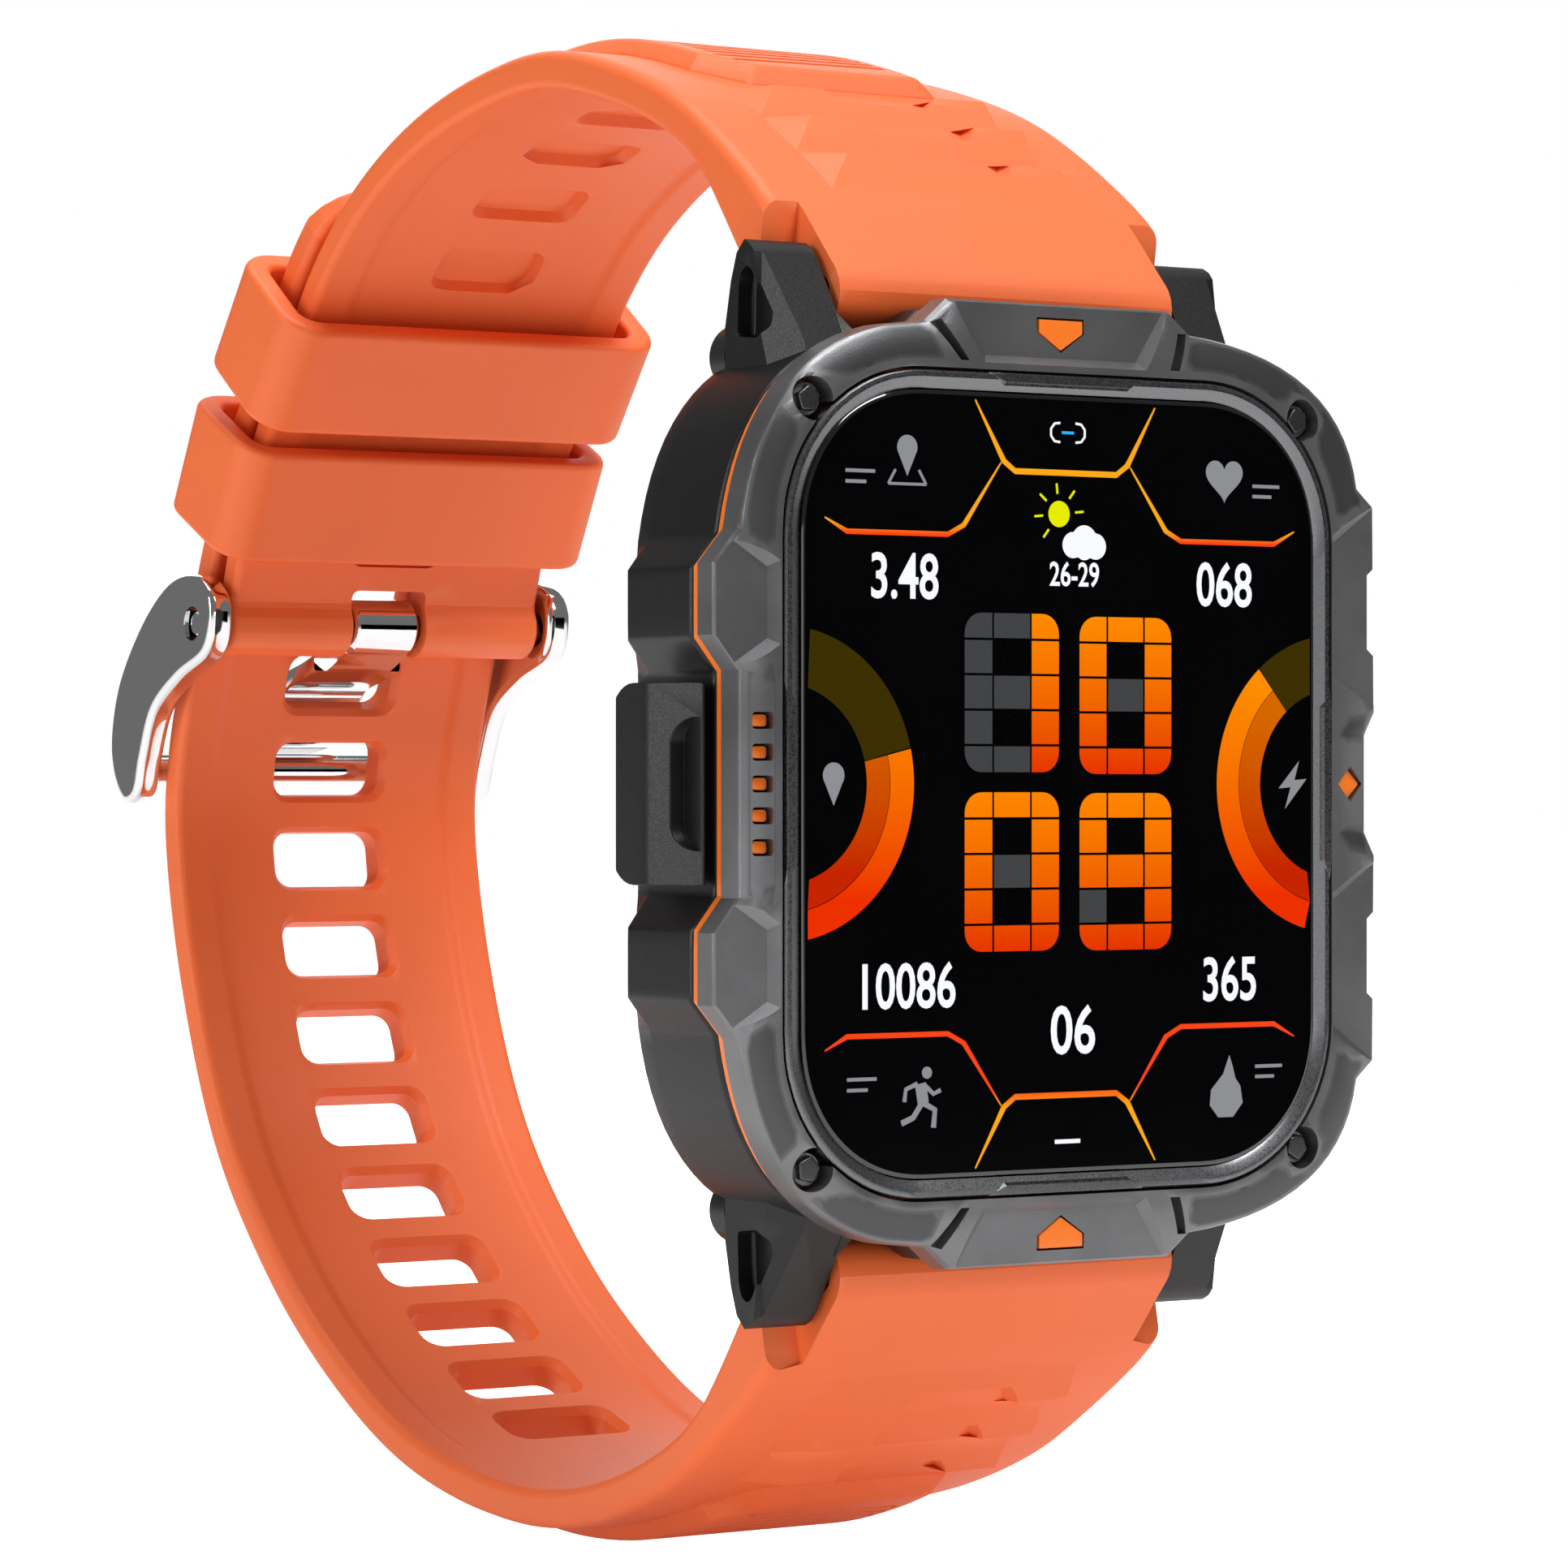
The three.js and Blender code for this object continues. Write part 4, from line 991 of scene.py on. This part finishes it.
# ------------------------------------------------------------------ keepers and buckle
LAYER_GAP, KEEPER_ROOM, KEEPER_WALL, KEEPER_X, KEEPER_WIDTH = 2.8, 0.75, 1.6, 14.4, 8.0


def keeper(name, length, body, node):
    here, tangent, away = UPPER.frame(length)
    room = (LAYER_GAP + THICK) / 2 + KEEPER_ROOM
    outside = rounded_rect(KEEPER_X, room + KEEPER_WALL, 2.5, count=8)
    inside = rounded_rect(WAIST_HALF + KEEPER_ROOM, room, 1.2, count=8)
    half = KEEPER_WIDTH / 2
    loops = [[(x, u, s) for x, u in outline] for outline, s in (
        (outside, -half), (outside, half), (inside, half), (inside, -half))]
    obj = bevel(new_object(name, *rings(loops, ring_closed=True)), 0.45, 4, 40)
    centre = here + away * (LAYER_GAP / 2)
    for vertex in obj.data.vertices:
        x, u, s = vertex.co
        y, z = centre + away * u + tangent * s
        vertex.co = (x, y, z)
    return to_frame(obj, body, STRAP, [node])


def buckle_pin():
    profile = [(0, -13.9), (0.7, -13.9), (PIN_R, -13.7), (PIN_R, 13.7), (0.7, 13.9), (0, 13.9)]
    return to_frame(lathe("hinge_pin", profile, 40, Matrix.Translation((0, PIN_Y, PIN_Z)) @ ALONG_X),
                    "strap_upper", CHROME, ["buckle_pin"])


def smooth_loop(points, steps=8):
    """A smooth closed outline through a few points."""
    result = []
    count = len(points)
    for i in range(count):
        p0, p1, p2, p3 = [Vector(points[(i + k) % count]) for k in (-1, 0, 1, 2)]
        for k in range(steps):
            t = k / steps
            spot = 0.5 * ((2 * p1) + (p2 - p0) * t + (2 * p0 - 5 * p1 + 4 * p2 - p3) * t * t
                          + (3 * p1 - p0 - 3 * p2 + p3) * t ** 3)
            result.append(tuple(spot))
    return result


def buckle_frame():
    leaf = [(76.5, 11.3), (77.5, 8.7), (81.4, 7.1), (84.9, 4.9), (86.6, 1.6), (87.5, -0.8), (89.3, -1.3),
            (90.9, 0.6), (91.3, 3.4), (90.0, 7.2), (86.6, 11.2), (82.8, 13.7), (79.4, 14.1), (77.2, 13.1)]
    outline = smooth_loop(leaf)
    parts = []
    for side in (1, -1):
        arm = bevel(side_prism("arm", outline, *sorted((side * 12.4, side * 14.2))), 0.55, 5, 40)
        cut(arm, rod_on_x(PIN_R + 0.25, PIN_Y, PIN_Z, side * 13.2 - 2, side * 13.2 + 2))
        parts.append(arm)
    bar = lathe("bar", [(0, -12.9), (1.15, -12.9), (1.15, 12.9), (0, 12.9)], 40,
                Matrix.Translation((0, 89.35, 0.95)) @ ALONG_X)
    obj = union(parts[0], parts[1])
    union(obj, bar)
    return to_frame(obj, "buckle_frame", CHROME, ["buckle_frame"])


TONGUE = Path([(79.3, 9.5), (81.4, 8.5), (83.4, 7.85), (86.5, 6.9), (88.7, 4.8), (90.8, 2.3)], 1)


def buckle_tongue():
    loops = []
    steps = 28
    for i in range(steps + 1):
        s = TONGUE.total * i / steps
        left = TONGUE.total - s
        half = 3.4 * (math.sqrt(max(0.06, 1 - ((2.2 - left) / 2.4) ** 2)) if left < 2.2 else 1)
        thick = 0.6 * (0.6 + 0.4 * ease(left, 0, 2))
        outline = rounded_rect(half, thick, 0.28, count=4)
        loops.append([TONGUE.place(x, h, s) for x, h in outline])
    blade = new_object("blade", *rings(loops))
    waste = [box("gap", *sorted((side * 2.5, side * 8)), PIN_Y - 3, PIN_Y + 2.5, PIN_Z - 3, PIN_Z + 3)
             for side in (1, -1)]
    cut(blade, merge("tongue_gaps", waste))
    ring = lathe("ring", [(0, -2.5), (1.6, -2.5), (1.9, -2.2), (1.9, 2.2), (1.6, 2.5), (0, 2.5)], 48,
                 Matrix.Translation((0, PIN_Y, PIN_Z)) @ ALONG_X)
    obj = union(ring, blade)
    cut(obj, rod_on_x(PIN_R + 0.2, PIN_Y, PIN_Z, -5, 5))
    return to_frame(obj, "buckle_tongue", CHROME, ["buckle_tongue"])


# ------------------------------------------------------------------ glass and what it shows
GLASS_FRONT = 0.15
INK_FRONT, INK_BACK = 0.13, 0.3


def crystal():
    obj = new_object("glass_cover", *rings([[(x, y, z) for x, z in glass_outline(grow)] for grow, y in (
        (-0.02, 1.5), (-0.02, 0.32), (-0.06, 0.22), (-0.16, GLASS_FRONT + 0.01), (-0.3, GLASS_FRONT))]))
    return to_frame(obj, "case", GLASS, ["crystal"])


def ink(name, shapes, material):
    """Printed or lit areas just on the glass, one object for all shapes of a colour."""
    parts = [prism("ink", shape, INK_FRONT, INK_BACK) for shape in shapes]
    return to_frame(merge(name, parts), "case", material)


def ring_sector(cx, inner, outer, start, end, clip_x):
    """Part of a ring, cut off where it leaves the glass."""
    def arc(radius, a0, a1, count=40):
        points = []
        for i in range(count + 1):
            a = a0 + (a1 - a0) * i / count
            x, z = cx + radius * math.cos(a), radius * math.sin(a)
            if abs(x) <= clip_x + 0.02:
                points.append((x, z))
        return points
    return arc(outer, start, end) + arc(inner, end, start)


def digit_cells(x0, z0, lit):
    """Cells of a three by five block digit, as (lit, outline); lit is a string of 15 marks, row by row."""
    widths, heights, gap = (2.05, 2.65, 2.05), (1.55, 2.0, 2.0, 2.0, 1.6), 0.07
    cells = []
    z = z0
    for row, height in enumerate(heights):
        x = x0
        for column, width in enumerate(widths):
            mark = lit[row * 3 + column]
            if mark != ".":
                left, right, low, high = x + gap, x + width - gap, z - height + gap, z - gap
                corner = {(0, 0): "tl", (0, 2): "tr", (4, 0): "bl", (4, 2): "br"}.get((row, column))
                cells.append((mark == "#", cell_outline(left, right, low, high, corner)))
            x += width
        z -= height
    return cells


def cell_outline(left, right, low, high, corner):
    points = {"bl": (left, low), "br": (right, low), "tr": (right, high), "tl": (left, high)}
    outline = []
    radius = 1.15
    for key in ("bl", "br", "tr", "tl"):
        x, z = points[key]
        if key != corner:
            outline.append((x, z))
            continue
        sx, sz = (1 if "l" in key else -1), (1 if "b" in key else -1)
        cx, cz = x + sx * radius, z + sz * radius
        arc = [(cx - sx * radius * math.cos(a), cz - sz * radius * math.sin(a))
               for a in [math.pi / 2 * i / 6 for i in range(7)]]
        starts_on_side = key in ("bl", "tr")
        outline += arc if starts_on_side else arc[::-1]
    return outline


def stroke(points, width, taper=False):
    """A line of even width through points, as one outline; taper thins both ends."""
    left, right = [], []
    count = len(points)
    for i, point in enumerate(points):
        here = Vector(point)
        before = Vector(points[max(i - 1, 0)])
        after = Vector(points[min(i + 1, count - 1)])
        d = (after - before).normalized()
        w = width / 2
        if taper and i in (0, count - 1):
            w *= 0.25
        n = Vector((-d.y, d.x)) * w
        left.append(tuple(here + n))
        right.append(tuple(here - n))
    return left + right[::-1]


def blob(circles, count=64):
    """Outline round several circles, seen from the first one's centre."""
    cx, cz, _ = circles[0]
    points = []
    for i in range(count):
        ray = Vector((math.cos(2 * math.pi * i / count), math.sin(2 * math.pi * i / count)))
        reach = 0.0
        for x, z, r in circles:
            to = Vector((x - cx, z - cz))
            along = to.dot(ray)
            inside = r * r - (to.length_squared - along * along)
            if inside > 0:
                reach = max(reach, along + math.sqrt(inside))
        points.append((cx + ray.x * reach, cz + ray.y * reach))
    return points


def number(name, text, centre, height, width_scale, material):
    """Dial numbers in Blender's own plain font."""
    curve = bpy.data.curves.new(name, "FONT")
    curve.body = text
    curve.size = height / 0.7
    curve.align_x = "CENTER"
    curve.align_y = "CENTER"
    curve.extrude = (INK_BACK - INK_FRONT) / 2
    curve.offset = 0.02 * height
    curve.resolution_u = 4
    text_object = placed(name, curve)
    bpy.context.view_layer.update()
    mesh = bpy.data.meshes.new_from_object(text_object.evaluated_get(bpy.context.evaluated_depsgraph_get()))
    bpy.data.objects.remove(text_object)
    x, z = centre
    place = Matrix.Translation((x, (INK_FRONT + INK_BACK) / 2, z)) @ Matrix.Rotation(math.pi / 2, 4, "X")
    mesh.transform(place @ Matrix.Diagonal((width_scale, 1, 1, 1)))
    return to_frame(placed(name, mesh), "case", material)


def scaled(points, cx, cz, size):
    return [(cx + x * size, cz + z * size) for x, z in points]


def teardrop(cx, cz, size):
    points = [(0, -1)]
    for i in range(25):
        a = math.radians(-35 + 250 * i / 24)
        points.append((0.6 * math.cos(a), 0.4 + 0.6 * math.sin(a)))
    return scaled(points, cx, cz, size)


def heart(cx, cz, size):
    points = []
    for i in range(40):
        t = 2 * math.pi * i / 40
        x = 16 * math.sin(t) ** 3
        z = 13 * math.cos(t) - 5 * math.cos(2 * t) - 2 * math.cos(3 * t) - math.cos(4 * t)
        points.append((x / 17, z / 17))
    return scaled(points, cx, cz, size)


BOLT = [(0.35, 1.0), (-0.75, -0.15), (-0.1, -0.1), (-0.4, -1.0), (0.75, 0.25), (0.1, 0.2)]
FLAME = [(0.15, 1.0), (-0.1, 0.4), (-0.6, -0.1), (-0.65, -0.6), (-0.3, -1.0), (0.3, -1.0), (0.7, -0.55),
         (0.6, 0.0), (0.4, 0.25), (0.3, 0.6)]


def display():
    """Everything the dial shows: block digits, arcs, frame lines, numbers and small signs."""
    white = light_ink("lit_white", (0.95, 0.97, 1.0), 1.0)
    grey = light_ink("lit_grey", (0.30, 0.31, 0.33), 0.9)
    off = light_ink("lit_off", (0.055, 0.057, 0.06), 1.0)
    upper = light_ink("lit_orange_upper", (1.0, 0.26, 0.0), 1.0, (0.80, 0.035, 0.0), 0.0007, 0.0097)
    lower = light_ink("lit_orange_lower", (1.0, 0.24, 0.0), 1.0, (0.78, 0.03, 0.0), -0.0097, -0.0005)
    arc_bright = light_ink("lit_arc_outer", (1.0, 0.27, 0.0), 1.0, (0.85, 0.03, 0.0), -0.0065, 0.006)
    arc_dull = light_ink("lit_arc_inner", (0.75, 0.15, 0.0), 0.9, (0.62, 0.02, 0.0), -0.005, 0.004)
    olive = light_ink("lit_olive", (0.045, 0.030, 0.001), 1.0)
    frame_ink = light_ink("lit_frame", (1.0, 0.40, 0.01), 1.0, (0.95, 0.06, 0.01), 0.0140, 0.0147)
    frame_low = light_ink("lit_frame_low", (0.95, 0.06, 0.01), 1.0, (1.0, 0.40, 0.01), -0.0185, -0.0174)
    yellow = light_ink("lit_yellow", (0.80, 0.85, 0.0), 1.0)
    blue = light_ink("lit_blue", (0.02, 0.45, 0.95), 1.0)

    faces = {"one": "oo#o.#oo#o.#oo#", "nought": "####.##o##.####", "nine": "####.####o.####"}
    on_upper, on_lower, dark = [], [], []
    for x0, z0, face, store in ((-7.2, 9.75, "one", on_upper), (0.9, 9.65, "nought", on_upper),
                                (-7.2, -0.4, "nought", on_lower), (0.9, -0.45, "nine", on_lower)):
        for lit, outline in digit_cells(x0, z0, faces[face]):
            (store if lit else dark).append(outline)
    ink("digits_upper", on_upper, upper)
    ink("digits_lower", on_lower, lower)
    ink("digits_off", dark, off)

    clip = 17.9
    bright, dull, unlit = [], [], []
    for cx, side, switch in ((-19.4, 1, 13), (19.7, -1, 50)):
        to = lambda degrees: math.radians(degrees if side > 0 else 180 - degrees)
        bright.append(ring_sector(cx, 7.15, 8.75, to(switch), to(-82), clip))
        dull.append(ring_sector(cx, 5.55, 7.1, to(switch), to(-82), clip))
        unlit.append(ring_sector(cx, 5.55, 8.75, to(82), to(switch + 0.6), clip))
    ink("arcs_outer", bright, arc_bright)
    ink("arcs_inner", dull, arc_dull)
    ink("arcs_unlit", unlit, olive)

    tray = [(-6.4, 21.7), (-4.4, 18.3), (-3.6, 17.75), (3.6, 17.75), (4.4, 18.3), (6.4, 21.7)]
    wing = [(4.6, 18.2), (7.2, 14.6), (8.3, 14.05), (15.2, 14.05), (16.7, 14.8)]
    for name, side, material in (("frame_lines_upper", 1, frame_ink), ("frame_lines_lower", -1, frame_low)):
        lines = [stroke([(x, z * side) for x, z in tray], 0.34, True)]
        for flip in (1, -1):
            lines.append(stroke([(x * flip, z * side) for x, z in wing], 0.30, True))
        ink(name, lines, material)

    for name, text, centre, height, width in (
            ("distance", "3.48", (-11.3, 11.5), 2.5, 0.78), ("pulse", "068", (11.5, 11.45), 2.5, 0.78),
            ("temperature", "26-29", (0.6, 11.9), 1.35, 0.80), ("steps", "10086", (-11.2, -11.45), 2.5, 0.78),
            ("energy", "365", (11.9, -11.5), 2.5, 0.78), ("day", "06", (0.5, -14.2), 2.7, 0.85)):
        number("number_" + name, text, centre, height, width, white)

    cloud = blob([(1.3, 13.9, 0.9), (0.5, 13.65, 0.75), (2.1, 13.6, 0.75), (1.3, 13.4, 0.6)])
    white_shapes = [cloud, scaled([(-0.9, 0.12), (-0.9, -0.12), (0.9, -0.12), (0.9, 0.12)], 0.1, -20.4, 1.0)]
    sun = circle(0.75, 32, -0.5, 15.4)
    rays = []
    for i in range(6):
        a = 2 * math.pi * i / 8 + 0.1
        c, s = math.cos(a), math.sin(a)
        rays.append(stroke([(-0.5 + 1.15 * c, 15.4 + 1.15 * s), (-0.5 + 1.75 * c, 15.4 + 1.75 * s)], 0.13))
    ink("weather_sun", [sun] + rays, yellow)
    ink("weather_cloud", white_shapes, white)
    link = []
    for flip in (1, -1):
        hook = [(0.55, 0.55), (0.95, 0.5), (1.2, 0.2), (1.2, -0.2), (0.95, -0.5), (0.55, -0.55)]
        link.append(stroke([(0.13 + x * flip, 20.05 + z) for x, z in hook], 0.14))
    ink("link_sign", link, white)
    ink("link_bar", [stroke([(-0.3, 20.05), (0.56, 20.05)], 0.16)], blue)
    signs = [teardrop(-16.1, 0.0, 1.2), scaled(BOLT, 16.6, -0.05, 1.4), heart(11.5, 17.8, 1.45),
             scaled(FLAME, 11.6, -17.6, 1.8), teardrop(-11.1, 18.4, 1.15),
             stroke([(-12.4, 16.8), (-11.9, 17.6)], 0.16), stroke([(-12.4, 16.8), (-9.8, 16.8)], 0.16),
             stroke([(-9.8, 16.8), (-10.3, 17.6)], 0.16)]
    signs += [circle(0.34, 24, -9.75, -16.2), stroke([(-10.2, -16.8), (-10.0, -17.9)], 0.75),
              stroke([(-10.0, -17.9), (-9.2, -18.3), (-9.3, -19.3)], 0.34),
              stroke([(-10.1, -17.9), (-10.7, -18.7), (-11.5, -19.0)], 0.34),
              stroke([(-10.4, -16.8), (-11.2, -17.1), (-11.3, -17.8)], 0.26),
              stroke([(-9.9, -16.9), (-9.3, -17.4), (-8.8, -17.2)], 0.26)]
    for x, z in ((-14.3, 17.15), (14.6, 17.1), (-14.2, -16.75), (14.8, -16.8)):
        signs += [stroke([(x - 1.0, z + 0.3), (x + 1.0, z + 0.3)], 0.2),
                  stroke([(x - 1.0, z - 0.3), (x + 0.4, z - 0.3)], 0.2)]
    ink("signs", signs, grey)


# ------------------------------------------------------------------ CAD pieces that keep their own shape
SLOT_MATERIAL = {
    "gunmetal": GUNMETAL, "bright_rim": RIM_METAL, "screw_steel": SCREW_METAL, "case_polymer": BLACK,
    "orange_trim": ORANGE, "strap_elastomer": STRAP, "cover_glass": GLASS, "display": SENSOR,
    "sensor_glass": SENSOR, "buckle_chrome": CHROME, "inner_metal": INNER_METAL, "contact_gold": GOLD,
    "circuit_board": BOARD, "battery_wrap": FOIL, "seal_rubber": RUBBER,
}
SOFT_EDGE = 0.00015


def refine_cad_nodes():
    """Materials for every CAD node; their edges are rounded without touching the meshes."""
    slots = {part["node"]: part["material_slot"] for part in frame["record"]["subparts"]}
    for name, obj in frame["nodes"].items():
        obj.data.materials.clear()
        obj.data.materials.append(SLOT_MATERIAL[slots[name]])
        flat = obj.modifiers.new("flat", "DECIMATE")
        flat.decimate_type = "DISSOLVE"
        flat.angle_limit = math.radians(1)
        edge = obj.modifiers.new("edge", "BEVEL")
        edge.width = SOFT_EDGE
        edge.segments = 2
        edge.limit_method = "ANGLE"
        edge.angle_limit = math.radians(35)
        edge.harden_normals = True


camera()
stage()
bezel()
trim_rim()
accent_ring()
bezel_screws()
middle_case()
side_guard()
back_cover()
sensor_window()
crystal()
display()
strap_upper()
strap_lower()
keeper("upper_keeper", UPPER.near(70.0, 28.4), "keeper", "keeper_sliding")
keeper("lower_keeper", UPPER.near(75.8, 19.9), "strap_upper", "keeper_fixed")
buckle_pin()
buckle_frame()
buckle_tongue()
refine_cad_nodes()
